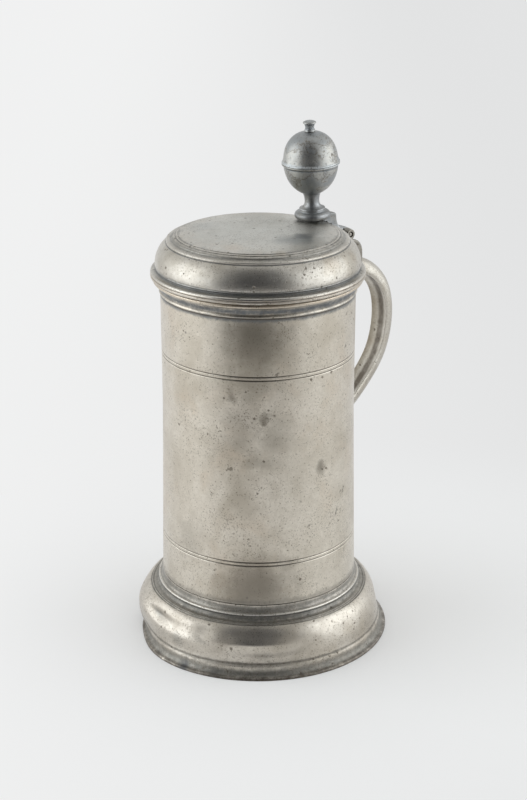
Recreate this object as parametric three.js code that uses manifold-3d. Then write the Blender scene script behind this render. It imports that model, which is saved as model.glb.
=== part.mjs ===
// A pewter tankard: a turned cup on a hollow moulded foot, a strap handle, and a hinged
// lid that opens by a ball-shaped thumbpiece on a turned stem.
// Millimetres, +Z up. The handle points along +X and the foot stands on z = 0.
// Inside the group the cup's axis is x = y = 0; the whole is then centred on its box.
import * as THREE from 'three';
import { mergeVertices } from 'three/addons/utils/BufferGeometryUtils.js';
import Module from 'manifold-3d';

const wasm = await Module();
wasm.setup();

// Clearances
const solderGap = 0.3;
const runningGap = 0.4;
const cutOverrun = 4;

// Steps of the turned pieces
const largeTurnSteps = 40;
const smallTurnSteps = 20;
const pinTurnSteps = 16;

// Cup wall: straight at the top, widening a little towards the foot
const cupHeight = 181.2;
const wallTopRadius = 46;
const wallFlare = 1.6;
const wallThickness = 2;
const flareDrop = 64.2;
const upperLineDrop = 35.2;
const lowerLineRise = 21.8;
const linePairSpacing = 1.75;
const lineWidth = 0.7;
const lineDepth = 0.35;

// Rim moulding of the cup
const rimBeadProud = 3.6;
const rimBeadHeight = 1.9;
const rimCoveHeight = 3.9;
const rimFilletHeight = 1.5;
const rimFilletProud = 0.75;

// Floor
const floorHeight = 24;
const floorThickness = 2.2;
const floorDish = 0.8;
const floorToWallEnd = 1.8;

// Foot ring
const footHeight = 31.9;
const footSpread = 16.2;
const footRebate = 0.9;
const footWallThickness = 1.7;
const footBearingWidth = 3.2;
const footLipHeight = 1.2;
const footFilletHeight = 5.7;
const footFilletWidth = 0.8;
const footFilletInset = 3.4;
const footBowlInset = 4.3;
const footBowlHeight = 7.5;
const footBowlReach = 8.3;
const footBowlRise = 17;
const footBeadProud = 1.8;
const footBeadDrop = 4.1;
const footLineWidth = 0.7;

// Handle
const handleWidth = 11.8;
const handleDepth = 7.7;
const handleEdge = 1.2;
const handleHollow = 0.9;
const handleTaperShare = 0.9;
const handleReach = 37.1;
const handleBelowRim = 6;
const handleDrop = 81.7;
const handleSteps = 26;
// Points of the middle line: shares of its reach outwards and of its drop from top to foot
const handleOutShares = [0, 0.36, 0.68, 0.92, 1, 0.885, 0.475, 0];
const handleDownShares = [0.045, 0, 0.052, 0.18, 0.364, 0.603, 0.835, 1];

// Hinge: the lid's lug carries the middle knuckle, the handle's bracket the two outer ones
const hingeBeyondLid = 2.3;
const hingeAboveRim = 11.2;
const barrelLength = 14;
const barrelMiddleRadius = 3.1;
const barrelTaper = 0.6;
const middleKnuckleLength = 5.4;
const pinRadius = 1.1;
const pinRecess = 0.3;
const bracketWidth = 11;
const bracketInset = 1;
const bracketDepth = 10.6;
const bracketShoulderDrop = 11;
const bracketCurl = 4.4;
const lugWidth = 8;
const lugBeyondBase = 3.6;
const hingeRounding = 0.8;

// Lid, from its flange inwards and from its underside upwards
const lidOverhang = 1;
const lidThickness = 1.7;
const lidFlangeHeight = 3;
const lidCoveHeight = 1.8;
const lidCurl = 2.2;
const lidShoulderInset = 2.2;
const lidShoulderHeight = 7;
const lidShoulderReach = 11;
const lidShoulderRise = 10.8;
const lidStepInset = 5.4;
const lidStepHeight = 16.5;
const lidBeadWidth = 0.6;
const lidBeadRise = 0.5;
const lidCoveWidth = 2.2;
const lidCoveDepth = 1.1;
const lidBandRise = 2.1;
const lidBandWidth = 3.4;
const lidLineInset = 1.5;
const lidLineSpacing = 1.2;
const lidDiscRise = 1.4;
const lidCrown = 0.7;
const bezelDepth = 3;
const bezelThickness = 1.6;
const bezelGap = 0.9;

// Thumbpiece, heights along its own axis from the underside of its base
const thumbInset = 2.8;
const thumbAboveLid = 0.5;
const thumbLeanDegrees = 3;
const thumbBaseRadius = 8.6;
const thumbBaseHeight = 3.6;
const thumbCollarRadius = 6.2;
const thumbCollarHeight = 1.6;
const thumbWaistRadius = 3.5;
const thumbWaistHeight = 3;
const thumbNeckRadius = 4.8;
const thumbNeckHeight = 4.4;
const spigotRadius = 2.4;
const spigotLength = 1;
const ballRadius = 13;
const ballLowerRise = 15.6;
const ballUpperRise = 14.9;
const ballSink = 1;
const ballThickness = 1;
const ballFullness = 2.3;
const ballBeadProud = 0.8;
const ballBeadWidth = 2;
const finialRadius = 3.1;
const finialNeckRadius = 1.9;
const finialHeight = 4.6;
const finialButtonHeight = 1.1;

// Places that follow from the sizes above, radii from the cup's axis and heights from the table
const wallFootRadius = wallTopRadius + wallFlare;
const wallBottomHeight = floorHeight - floorThickness - floorToWallEnd;
const flareTopHeight = cupHeight - flareDrop;
const rimBeadRadius = wallTopRadius + rimBeadProud;
const footRadius = wallFootRadius + footSpread;
const footFilletRadius = footRadius - footFilletInset;
const footBeadRadius = wallFootRadius + footBeadProud;
const footBeadHeight = footHeight - footBeadDrop;
const handleTopHeight = cupHeight - handleBelowRim;
const lidUnderside = cupHeight + solderGap;
const lidFlangeRadius = rimBeadRadius + lidOverhang;
const lidShoulderRadius = lidFlangeRadius - lidShoulderInset;
const lidStepRadius = lidShoulderRadius - lidStepInset;
const lidBeadRadius = lidStepRadius - lidBeadWidth;
const lidBandRadius = lidBeadRadius - lidCoveWidth;
const lidDiscRadius = lidBandRadius - lidBandWidth;
const lidBandHeight = lidUnderside + lidStepHeight + lidBandRise;
const lidDiscHeight = lidBandHeight + lidDiscRise;
const lidTopHeight = lidDiscHeight + lidCrown;
const hingeRadius = lidFlangeRadius + hingeBeyondLid;
const hingeHeight = cupHeight + hingeAboveRim;
const thumbRadius = lidDiscRadius - thumbInset;
const thumbHeight = lidTopHeight + thumbAboveLid;
const lugRadius = thumbRadius + thumbBaseRadius + lugBeyondBase;
const collarTop = thumbBaseHeight + thumbCollarHeight;
const waistTop = collarTop + thumbWaistHeight;
const neckTop = waistTop + thumbNeckHeight;
const ballEquatorHeight = neckTop + ballLowerRise - ballSink;

// Points of an elliptical arc in a turned outline, from one angle to another, in degrees
function arc(centre, reach, rise, fromDegrees, toDegrees, steps) {
  const points = [];
  for (let i = 0; i <= steps; i += 1) {
    const angle = THREE.MathUtils.degToRad(fromDegrees + ((toDegrees - fromDegrees) * i) / steps);
    points.push([centre[0] + reach * Math.cos(angle), centre[1] + rise * Math.sin(angle)]);
  }
  return points;
}

// A geometry turned about Z from an outline of [radius, height], its solid side on the left
function turned(outline, steps) {
  const points = outline.map(([radius, height]) => new THREE.Vector2(radius, height));
  return new THREE.LatheGeometry(points, steps).rotateX(Math.PI / 2);
}

// A closed ring outline returns to its first point
function closed(outline) {
  return [...outline, outline[0]];
}

// A geometry as a solid that can be joined and cut
function solidOf(geometry) {
  const plain = geometry.clone();
  plain.deleteAttribute('normal');
  plain.deleteAttribute('uv');
  const merged = mergeVertices(plain);
  const mesh = new wasm.Mesh({
    numProp: 3,
    vertProperties: new Float32Array(merged.attributes.position.array),
    triVerts: new Uint32Array(merged.index.array),
  });
  return new wasm.Manifold(mesh);
}

// A solid as a geometry again
function geometryOf(solid) {
  const mesh = solid.getMesh();
  const geometry = new THREE.BufferGeometry();
  geometry.setAttribute('position', new THREE.BufferAttribute(mesh.vertProperties, 3));
  geometry.setIndex(new THREE.BufferAttribute(mesh.triVerts, 1));
  geometry.computeVertexNormals();
  return geometry;
}

// Each piece has its own pewter, a little lighter or darker and rougher or smoother
function pewter(colour, roughness) {
  return new THREE.MeshStandardMaterial({ color: colour, roughness, metalness: 1 });
}

function piece(name, geometry, material) {
  const mesh = new THREE.Mesh(geometry, material);
  mesh.name = name;
  return mesh;
}

// Outer radius of the plain wall at a height: straight above, widening towards the foot
function wallRadiusAt(height) {
  const share = Math.max(0, (flareTopHeight - height) / (flareTopHeight - footHeight));
  return wallTopRadius + wallFlare * share;
}

// A V-shaped incised line around the wall, its middle at a height
function wallLine(height) {
  const low = height - lineWidth / 2;
  const high = height + lineWidth / 2;
  return [
    [wallRadiusAt(low), low],
    [wallRadiusAt(height) - lineDepth, height],
    [wallRadiusAt(high), high],
  ];
}

function wallLinePair(height) {
  return [...wallLine(height - linePairSpacing), ...wallLine(height)];
}

// The rim's fillet, cove and bead, going up; the gap grows it for cutting its neighbours
function rimOutline(gap) {
  const beadLow = cupHeight - rimBeadHeight;
  const coveLow = beadLow - rimCoveHeight;
  const coveRadius = wallTopRadius + rimFilletProud / 2;
  const beadCentre = [rimBeadRadius - rimBeadHeight / 2, cupHeight - rimBeadHeight / 2];
  const coveReach = beadCentre[0] - coveRadius;
  return [
    [wallTopRadius + gap, coveLow - rimFilletHeight - gap],
    [wallTopRadius + rimFilletProud + gap, coveLow - rimFilletHeight / 2 - gap],
    [coveRadius + gap, coveLow - gap],
    ...arc([beadCentre[0] + gap, coveLow - gap], coveReach, rimCoveHeight, 165, 105, 3),
    ...arc([beadCentre[0] + gap, beadCentre[1]], rimBeadHeight / 2, rimBeadHeight / 2, -60, 60, 3),
    [beadCentre[0] + gap, cupHeight + gap],
  ];
}

// Cup wall with its rim moulding, incised lines and the rebate that the foot sits on
function makeCupWall() {
  const rebateRadius = wallFootRadius - footRebate;
  const outline = closed([
    [rebateRadius, wallBottomHeight],
    [rebateRadius, footHeight],
    [wallFootRadius, footHeight],
    ...wallLinePair(footHeight + lowerLineRise),
    [wallTopRadius, flareTopHeight],
    ...wallLinePair(cupHeight - upperLineDrop),
    ...rimOutline(0),
    [wallTopRadius - wallThickness, cupHeight],
    [wallTopRadius - wallThickness, flareTopHeight],
    [wallFootRadius - wallThickness, footHeight],
    [wallFootRadius - wallThickness, wallBottomHeight],
  ]);
  return piece('cup_wall', turned(outline, largeTurnSteps), pewter(0xa8a49b, 0.38));
}

// Floor disc soldered inside the wall, dished a little towards its middle
function makeFloor() {
  const radius = wallFootRadius - wallThickness - solderGap;
  const dishRadius = radius - wallThickness;
  const outline = [
    [0, floorHeight - floorDish - floorThickness],
    [dishRadius, floorHeight - floorThickness],
    [radius, floorHeight - floorThickness],
    [radius, floorHeight],
    [dishRadius, floorHeight],
    [0, floorHeight - floorDish],
  ];
  return piece('floor_disc', turned(outline, largeTurnSteps), pewter(0x8f8b83, 0.5));
}

// A shallow incised line on the sloping top of the foot, at a radius
function footLine(radius) {
  const heightAt = (r) => {
    const across = (r - footRadius + footBowlInset + footBowlReach) / footBowlReach;
    return footBowlHeight + footBowlRise * Math.sqrt(1 - across * across);
  };
  const outer = radius + footLineWidth / 2;
  const inner = radius - footLineWidth / 2;
  return [
    [outer, heightAt(outer)],
    [radius, heightAt(radius) - lineDepth],
    [inner, heightAt(inner)],
  ];
}

// Hollow foot ring: lip, cove, fillet, bulging bowl, two incised lines, cove and bead
function makeFootRing() {
  const seatRadius = wallFootRadius - footRebate + solderGap;
  const bowlCentre = [footRadius - footBowlInset - footBowlReach, footBowlHeight];
  const topHeight = footHeight - solderGap;
  const shelfHeight = footBowlHeight + footBowlRise;
  const innerReach = footBowlReach - footWallThickness;
  const innerRise = footBowlRise - footWallThickness;
  const coveTop = footFilletHeight - footFilletWidth;
  const coveReach = footFilletInset - lineDepth;
  const lineRadii = [bowlCentre[0] + footBowlReach / 4, bowlCentre[0] + footBowlReach / 8];
  const outline = closed([
    [footRadius, 0],
    [footRadius, footLipHeight / 2],
    [footRadius - footLipHeight / 2, footLipHeight],
    ...arc([footRadius - footLipHeight / 2, coveTop], coveReach, coveTop - footLipHeight, -110, -170, 3),
    [footFilletRadius, footFilletHeight],
    [footFilletRadius - footFilletWidth / 2, footFilletHeight + footFilletWidth],
    ...arc(bowlCentre, footBowlReach, footBowlRise, 6, 66, 6),
    ...lineRadii.flatMap(footLine),
    [bowlCentre[0], shelfHeight],
    [footBeadRadius, footBeadHeight - footLineWidth],
    [footBeadRadius, footBeadHeight],
    ...arc([footBeadRadius, topHeight], footBeadRadius - wallFootRadius,
      topHeight - footBeadHeight, 255, 195, 3),
    [wallFootRadius, topHeight],
    [seatRadius, topHeight],
    [seatRadius, shelfHeight - footWallThickness],
    ...arc(bowlCentre, innerReach, innerRise, 80, 6, 4),
    [footFilletRadius - footWallThickness, footBearingWidth],
    [footRadius - footBearingWidth, 0],
  ]);
  return piece('foot_ring', turned(outline, largeTurnSteps), pewter(0xa5a198, 0.36));
}

// Outer shape of the cup and foot, grown by a gap, to cut what is soldered against it
function cupEnvelope(gap) {
  const outline = [
    [0, wallBottomHeight],
    [wallFootRadius + gap, wallBottomHeight],
    [wallFootRadius + gap, footHeight],
    [wallTopRadius + gap, flareTopHeight],
    ...rimOutline(gap),
    [0, cupHeight + gap],
  ];
  return solidOf(turned(outline, largeTurnSteps));
}

// Middle line of the handle in the XZ plane, from inside the upper wall to inside the lower
function handleCurve() {
  const start = wallTopRadius - wallThickness;
  const reach = handleReach + wallThickness;
  const points = handleOutShares.map((outShare, i) => (
    new THREE.Vector3(start + reach * outShare, 0, handleTopHeight - handleDrop * handleDownShares[i])
  ));
  return new THREE.CatmullRomCurve3(points, false, 'centripetal');
}

// Section of the handle as [across, outwards]: a rounded back and a slightly hollow inner face
function handleSection(width, depth, gap) {
  const half = width / 2 + gap;
  const inner = -depth / 2 - gap;
  const back = arc([0, handleEdge - depth / 2], half, depth - handleEdge + gap, 0, 180, 10);
  return [
    ...back,
    [-half + handleEdge / 2, inner],
    [-half / 2, inner + handleHollow],
    [half / 2, inner + handleHollow],
    [half - handleEdge / 2, inner],
  ];
}

// Solid of the handle, swept along its middle line and tapered towards its foot
function handleSolid(gap) {
  const curve = handleCurve();
  const rings = [];
  for (let i = 0; i <= handleSteps; i += 1) {
    const share = i / handleSteps;
    const middle = curve.getPointAt(share);
    const along = curve.getTangentAt(share);
    const taper = THREE.MathUtils.lerp(1, handleTaperShare, share);
    const section = handleSection(handleWidth * taper, handleDepth * taper, gap);
    rings.push(section.map(([across, outwards]) => [
      middle.x - along.z * outwards,
      across,
      middle.z + along.x * outwards,
    ]));
  }
  return solidOf(loftGeometry(rings, handleSection(handleWidth, handleDepth, gap)));
}

// Closes a row of equal rings of points into one body; the flat section gives its end faces
function loftGeometry(rings, section) {
  const count = rings[0].length;
  const positions = rings.flat(2);
  const faces = [];
  for (let i = 0; i < rings.length - 1; i += 1) {
    for (let j = 0; j < count; j += 1) {
      const next = (j + 1) % count;
      const a = i * count + j;
      const b = i * count + next;
      faces.push(a, b, b + count, a, b + count, a + count);
    }
  }
  const flat = section.map(([across, outwards]) => new THREE.Vector2(across, outwards));
  const last = (rings.length - 1) * count;
  for (const [a, b, c] of THREE.ShapeUtils.triangulateShape(flat, [])) {
    faces.push(c, b, a, last + a, last + b, last + c);
  }
  const geometry = new THREE.BufferGeometry();
  geometry.setAttribute('position', new THREE.Float32BufferAttribute(positions, 3));
  geometry.setIndex(faces);
  return geometry;
}

function makeHandle() {
  const solid = handleSolid(0).subtract(cupEnvelope(solderGap));
  const parts = solid.decompose();
  parts.sort((a, b) => b.volume() - a.volume());
  return piece('handle', geometryOf(parts[0]), pewter(0xaaa69d, 0.4));
}

// A cylinder about the hinge axis, of a radius and a length along Y
function hingeCylinder(radius, length) {
  const geometry = new THREE.CylinderGeometry(radius, radius, length, largeTurnSteps / 2);
  return solidOf(geometry.translate(hingeRadius, 0, hingeHeight));
}

// Radius of the hinge barrel, which bulges a little, at a place along it
function barrelRadiusAt(along) {
  const share = (2 * along) / barrelLength;
  return barrelMiddleRadius - barrelTaper * share * share;
}

// Solid stretch of the barrel between two places along the hinge axis
function barrelStretch(from, to) {
  const outline = [new THREE.Vector2(0, from)];
  for (let i = 0; i <= 4; i += 1) {
    const along = THREE.MathUtils.lerp(from, to, i / 4);
    outline.push(new THREE.Vector2(barrelRadiusAt(along), along));
  }
  outline.push(new THREE.Vector2(0, to));
  const geometry = new THREE.LatheGeometry(outline, smallTurnSteps);
  return solidOf(geometry.translate(hingeRadius, 0, hingeHeight));
}

// A side outline in the XZ plane, extruded to a width about y = 0 with rounded edges
function sideSolid(shape, width) {
  const geometry = new THREE.ExtrudeGeometry(shape, {
    depth: width - 2 * hingeRounding,
    bevelThickness: hingeRounding,
    bevelSize: hingeRounding,
    bevelOffset: -hingeRounding,
    bevelSegments: 2,
    curveSegments: 6,
  });
  return solidOf(geometry.rotateX(Math.PI / 2).translate(0, width / 2 - hingeRounding, 0));
}

// Bracket on the handle's back: a neck that carries the two outer knuckles
function makeHingeBracket() {
  const inner = hingeRadius - bracketInset;
  const outer = inner + bracketDepth;
  const barrelUnder = hingeHeight - barrelMiddleRadius;
  const side = new THREE.Shape();
  side.moveTo(inner, handleTopHeight);
  side.lineTo(outer, handleTopHeight);
  side.lineTo(outer, hingeHeight - bracketShoulderDrop);
  side.quadraticCurveTo(outer, hingeHeight - bracketCurl, hingeRadius + barrelMiddleRadius, barrelUnder);
  side.lineTo(hingeRadius + barrelMiddleRadius / 2, hingeHeight);
  side.lineTo(inner, hingeHeight);
  const innerEnd = middleKnuckleLength / 2 + runningGap;
  const solid = sideSolid(side, bracketWidth)
    .add(barrelStretch(innerEnd, barrelLength / 2))
    .add(barrelStretch(-barrelLength / 2, -innerEnd))
    .subtract(hingeCylinder(barrelMiddleRadius + runningGap, 2 * innerEnd))
    .subtract(hingeCylinder(pinRadius + solderGap, barrelLength + cutOverrun))
    .subtract(handleSolid(solderGap));
  return piece('hinge_bracket', geometryOf(solid), pewter(0xb0aba0, 0.42));
}

function makeHingePin() {
  const length = barrelLength - 2 * pinRecess;
  const geometry = new THREE.CylinderGeometry(pinRadius, pinRadius, length, pinTurnSteps);
  const mesh = piece('hinge_pin', geometry, pewter(0x6d6a66, 0.45));
  mesh.position.set(hingeRadius, 0, hingeHeight);
  return mesh;
}

// Height of the lid's plain band between its disc and its cove
function lidBandHeightAt(radius) {
  const share = (lidBandRadius - radius) / lidBandWidth;
  return THREE.MathUtils.lerp(lidBandHeight, lidDiscHeight, share);
}

function lidLine(radius) {
  const outer = radius + lineWidth / 2;
  const inner = radius - lineWidth / 2;
  return [
    [outer, lidBandHeightAt(outer)],
    [radius, lidBandHeightAt(radius) - lineDepth],
    [inner, lidBandHeightAt(inner)],
  ];
}

// Outside of the lid going up: flange, cove, curl, quarter-round shoulder, bead, cove and disc
function lidOutside() {
  const flangeTop = lidUnderside + lidFlangeHeight;
  const flangeMiddle = lidUnderside + lidFlangeHeight / 2;
  const shoulderHeight = lidUnderside + lidShoulderHeight;
  const stepHeight = lidUnderside + lidStepHeight;
  const neckRadius = lidShoulderRadius - lidCurl;
  const coveCentre = [lidFlangeRadius - lineWidth, flangeTop + lidCoveHeight];
  const shoulderCentre = [lidShoulderRadius - lidShoulderReach, shoulderHeight];
  const bandCoveCentre = [lidBeadRadius - lidBeadRise, lidBandHeight];
  return [
    [lidFlangeRadius - lineDepth, lidUnderside],
    [lidFlangeRadius, lidUnderside + lineDepth],
    [lidFlangeRadius, flangeMiddle - lineWidth / 2],
    [lidFlangeRadius - lineDepth, flangeMiddle],
    [lidFlangeRadius, flangeMiddle + lineWidth / 2],
    [lidFlangeRadius - lineDepth / 2, flangeTop - lineDepth],
    ...arc(coveCentre, coveCentre[0] - neckRadius, lidCoveHeight, -90, -150, 3),
    ...arc([neckRadius, shoulderHeight], lidCurl, lidCurl, -70, -20, 2),
    ...arc(shoulderCentre, lidShoulderReach, lidShoulderRise, 4, 58, 6),
    [lidStepRadius, stepHeight],
    [lidStepRadius, stepHeight + lidBeadRise],
    [lidBeadRadius, stepHeight + 2 * lidBeadRise],
    ...arc(bandCoveCentre, bandCoveCentre[0] - lidBandRadius, lidCoveDepth, -90, -180, 3),
    ...lidLine(lidBandRadius - lidLineInset),
    ...lidLine(lidBandRadius - lidLineInset - lidLineSpacing),
    [lidDiscRadius / 2, lidTopHeight - lidCrown / 4],
    [0, lidTopHeight],
  ];
}

// Outer shape of the lid, grown by a gap, to cut what is soldered on it
function lidEnvelope(gap) {
  const outside = lidOutside().map(([radius, height]) => [radius ? radius + gap : 0, height + gap]);
  return solidOf(turned([[0, cupHeight], ...outside], largeTurnSteps));
}

// Hollow lid with a bezel that drops into the cup
function makeLid() {
  const bezelRadius = wallTopRadius - wallThickness - bezelGap;
  const shoulderHeight = lidUnderside + lidShoulderHeight;
  const shoulderCentre = [lidShoulderRadius - lidShoulderReach, shoulderHeight];
  const outline = [
    [0, lidTopHeight - lidThickness],
    [lidDiscRadius, lidDiscHeight - lidThickness],
    [lidStepRadius - lidThickness, lidUnderside + lidStepHeight - lidThickness],
    ...arc(shoulderCentre, lidShoulderReach - lidThickness, lidShoulderRise - lidThickness, 45, 0, 3),
    [lidShoulderRadius - lidCurl - lidThickness, shoulderHeight - lidCurl],
    [bezelRadius - bezelThickness, lidUnderside + lidThickness],
    [bezelRadius - bezelThickness, lidUnderside - bezelDepth],
    [bezelRadius, lidUnderside - bezelDepth],
    [bezelRadius, lidUnderside],
    ...lidOutside(),
  ];
  return piece('lid', turned(outline, largeTurnSteps), pewter(0xa7a399, 0.35));
}

// Places geometry of the thumbpiece's own axis where it stands on the lid, leaning inwards
function thumbPlacement() {
  const lean = new THREE.Matrix4().makeRotationY(-THREE.MathUtils.degToRad(thumbLeanDegrees));
  return new THREE.Matrix4().makeTranslation(thumbRadius, 0, thumbHeight).multiply(lean);
}

// Turned stem: torus base, collar, waist, flared neck and the spigot that the ball sits on
function stemOutline() {
  const baseHalf = thumbBaseHeight / 2;
  return [
    [0, 0],
    ...arc([thumbBaseRadius - baseHalf, baseHalf], baseHalf, baseHalf, -90, 90, 6),
    [thumbCollarRadius, thumbBaseHeight],
    ...arc([thumbCollarRadius, waistTop], thumbCollarRadius - thumbWaistRadius,
      thumbWaistHeight, -90, -180, 4),
    ...arc([thumbNeckRadius, waistTop], thumbNeckRadius - thumbWaistRadius,
      thumbNeckHeight, 160, 90, 4),
    [spigotRadius, neckTop],
    [spigotRadius, neckTop + spigotLength],
    [0, neckTop + spigotLength],
  ];
}

// Lug from under the thumbpiece, over the lid's edge, to the middle knuckle of the hinge
function lugSolid() {
  const baseMiddle = thumbHeight + thumbBaseHeight / 2;
  const knuckleTop = hingeHeight + barrelMiddleRadius;
  const knuckleEnd = barrelMiddleRadius - barrelTaper;
  const underside = hingeHeight - knuckleEnd;
  const side = new THREE.Shape();
  side.moveTo(thumbRadius, underside);
  side.lineTo(hingeRadius - knuckleEnd, underside);
  side.lineTo(hingeRadius, hingeHeight);
  side.lineTo(hingeRadius, knuckleTop);
  side.quadraticCurveTo(lugRadius, knuckleTop, lugRadius, thumbHeight);
  side.quadraticCurveTo(lugRadius, baseMiddle, lugRadius - thumbBaseHeight, baseMiddle);
  side.lineTo(thumbRadius, baseMiddle);
  const half = middleKnuckleLength / 2;
  return sideSolid(side, lugWidth)
    .subtract(hingeCylinder(barrelMiddleRadius + runningGap, barrelLength))
    .add(sideSolid(side, middleKnuckleLength))
    .add(barrelStretch(-half, half))
    .subtract(hingeCylinder(pinRadius + solderGap, barrelLength));
}

// Stem, base and lug are one casting, seated on the lid's moulded top
function makeThumbStem() {
  const stem = turned(stemOutline(), smallTurnSteps).applyMatrix4(thumbPlacement());
  const solid = lugSolid().add(solidOf(stem)).subtract(lidEnvelope(solderGap));
  return piece('thumb_stem', geometryOf(solid), pewter(0x96938c, 0.42));
}

// Upper half of the ball is fuller than an ellipse
function fullArc(reach, rise, fromDegrees, toDegrees, steps) {
  const power = 2 / ballFullness;
  return arc([0, 0], 1, 1, fromDegrees, toDegrees, steps).map(([across, up]) => [
    reach * across ** power,
    ballEquatorHeight + rise * up ** power,
  ]);
}

// Lower hollow half of the ball, with half of the bead along the seam
function makeBallLower() {
  const seam = ballEquatorHeight - solderGap / 2;
  const bottom = neckTop + solderGap;
  const beadLow = ballEquatorHeight - ballBeadWidth / 2;
  const centre = [0, ballEquatorHeight];
  const outline = closed([
    [spigotRadius + solderGap, bottom],
    ...arc(centre, ballRadius, ballLowerRise, -66, -6, 7),
    [ballRadius + ballBeadProud / 2, beadLow],
    [ballRadius + ballBeadProud, (beadLow + seam) / 2],
    [ballRadius + ballBeadProud, seam],
    [ballRadius - ballThickness, seam],
    ...arc(centre, ballRadius - ballThickness, ballLowerRise - ballThickness, -12, -62, 4),
    [spigotRadius + solderGap, bottom + ballThickness],
  ]);
  return piece('thumb_ball_lower', turned(outline, smallTurnSteps), pewter(0x8e8c87, 0.4));
}

// Upper hollow half of the ball, with the other half of the bead and a vent in its top
function makeBallUpper() {
  const seam = ballEquatorHeight + solderGap / 2;
  const beadTop = ballEquatorHeight + ballBeadWidth / 2;
  const vent = finialNeckRadius + solderGap;
  const topHeight = ballEquatorHeight + ballUpperRise;
  const outline = closed([
    [ballRadius - ballThickness, seam],
    [ballRadius + ballBeadProud, seam],
    [ballRadius + ballBeadProud, (beadTop + seam) / 2],
    [ballRadius + ballBeadProud / 2, beadTop],
    ...fullArc(ballRadius, ballUpperRise, 12, 76, 7),
    [vent, topHeight],
    [vent, topHeight - ballThickness],
    ...fullArc(ballRadius - ballThickness, ballUpperRise - ballThickness, 72, 12, 5),
  ]);
  return piece('thumb_ball_upper', turned(outline, smallTurnSteps), pewter(0x8b8984, 0.4));
}

// Flared finial whose plug closes the vent of the ball
function makeFinial() {
  const seat = ballEquatorHeight + ballUpperRise + solderGap;
  const top = seat + finialHeight;
  const outline = [
    [0, seat - ballThickness],
    [finialNeckRadius, seat - ballThickness],
    [finialNeckRadius, seat + finialButtonHeight],
    ...arc([finialRadius, seat + finialButtonHeight], finialRadius - finialNeckRadius,
      finialHeight - 2 * finialButtonHeight, 170, 110, 3),
    [finialRadius, top - finialButtonHeight],
    [finialRadius, top - finialButtonHeight / 2],
    [finialNeckRadius, top],
    [0, top],
  ];
  return piece('thumb_finial', turned(outline, smallTurnSteps), pewter(0x9b9993, 0.36));
}

// The ball and finial stand on the leaning stem
const thumbpiece = new THREE.Group().add(makeBallLower(), makeBallUpper(), makeFinial());
thumbpiece.applyMatrix4(thumbPlacement());

const tankard = new THREE.Group();
tankard.add(makeCupWall(), makeFloor(), makeFootRing(), makeHandle());
tankard.add(makeHingeBracket(), makeHingePin());
tankard.add(makeLid(), makeThumbStem(), thumbpiece);

// The origin is the middle of the box at the height that the foot stands on
const box = new THREE.Box3().setFromObject(tankard, true);
tankard.position.x = -(box.min.x + box.max.x) / 2;

export default new THREE.Group().add(tankard);
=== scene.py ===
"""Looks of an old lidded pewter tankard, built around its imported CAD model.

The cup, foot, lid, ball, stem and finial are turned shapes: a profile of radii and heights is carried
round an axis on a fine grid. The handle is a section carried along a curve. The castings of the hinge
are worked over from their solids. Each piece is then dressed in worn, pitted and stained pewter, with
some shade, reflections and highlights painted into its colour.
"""

import logging
import math
from dataclasses import dataclass
from enum import Enum
from functools import cache
from typing import Sequence

import bmesh
import bpy
import numpy as np
from mathutils import Euler, Matrix, Vector


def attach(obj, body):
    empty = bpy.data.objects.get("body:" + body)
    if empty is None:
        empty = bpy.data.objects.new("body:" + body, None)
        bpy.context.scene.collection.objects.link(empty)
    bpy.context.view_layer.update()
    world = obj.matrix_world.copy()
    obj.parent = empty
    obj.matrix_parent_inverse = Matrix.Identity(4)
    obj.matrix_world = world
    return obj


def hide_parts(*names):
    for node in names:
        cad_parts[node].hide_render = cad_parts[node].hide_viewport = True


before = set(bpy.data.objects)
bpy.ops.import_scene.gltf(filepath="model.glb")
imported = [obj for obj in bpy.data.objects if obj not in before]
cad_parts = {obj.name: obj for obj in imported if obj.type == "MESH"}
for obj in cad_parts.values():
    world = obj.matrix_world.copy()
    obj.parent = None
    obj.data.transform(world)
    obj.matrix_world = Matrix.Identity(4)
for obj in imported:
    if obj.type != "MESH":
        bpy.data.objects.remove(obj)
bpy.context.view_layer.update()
LOG = logging.getLogger("tankard")
MM = 0.001
VESSEL = "vessel"
LID_BODY = "lid_and_thumbpiece"

# Sizes that the sub-assemblies share, in mm
CUP_AXIS = -11.483
CUP_HEIGHT = 181.2
CUP_RADIUS = 46.0
FOOT_HEIGHT = 31.9
HINGE_X = 41.417
HINGE_Z = 192.4
UPRIGHT = Matrix.Translation((CUP_AXIS, 0, 0))

# The least turn in degrees that is rounded, how far in mm a corner's values reach along a flat, the
# least number to divide by, and how near in metres two points are one
SHARP_TURN = 18.0
BRACE = 1.1
TINY = 1e-9
WELD = 1e-6

Point = tuple[float, float]
Triple = tuple[float, float, float]
Colour = tuple[float, float, float]
Thing = bpy.types.Object
Socket = bpy.types.NodeSocket
Value = float | tuple | Socket


def arc(centre: Point, reach: float, rise: float, start: float, stop: float, steps: int) -> np.ndarray:
    """Points of an elliptical arc: centre plus reach times the cosine and rise times the sine.

    Args:
        centre: radius and height of the middle, in mm.
        reach: half width in mm.
        rise: half height in mm.
        start: first angle in degrees.
        stop: last angle in degrees.
        steps: number of steps between the angles.

    Returns:
        Rows of radius and height.
    """
    angle = np.radians(np.linspace(start, stop, steps + 1))
    return np.column_stack([centre[0] + reach * np.cos(angle), centre[1] + rise * np.sin(angle)])


def chain(*parts: Sequence) -> np.ndarray:
    """Joins single points and rows of points into one outline."""
    return np.vstack([np.atleast_2d(np.asarray(part, dtype=float)) for part in parts])


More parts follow.
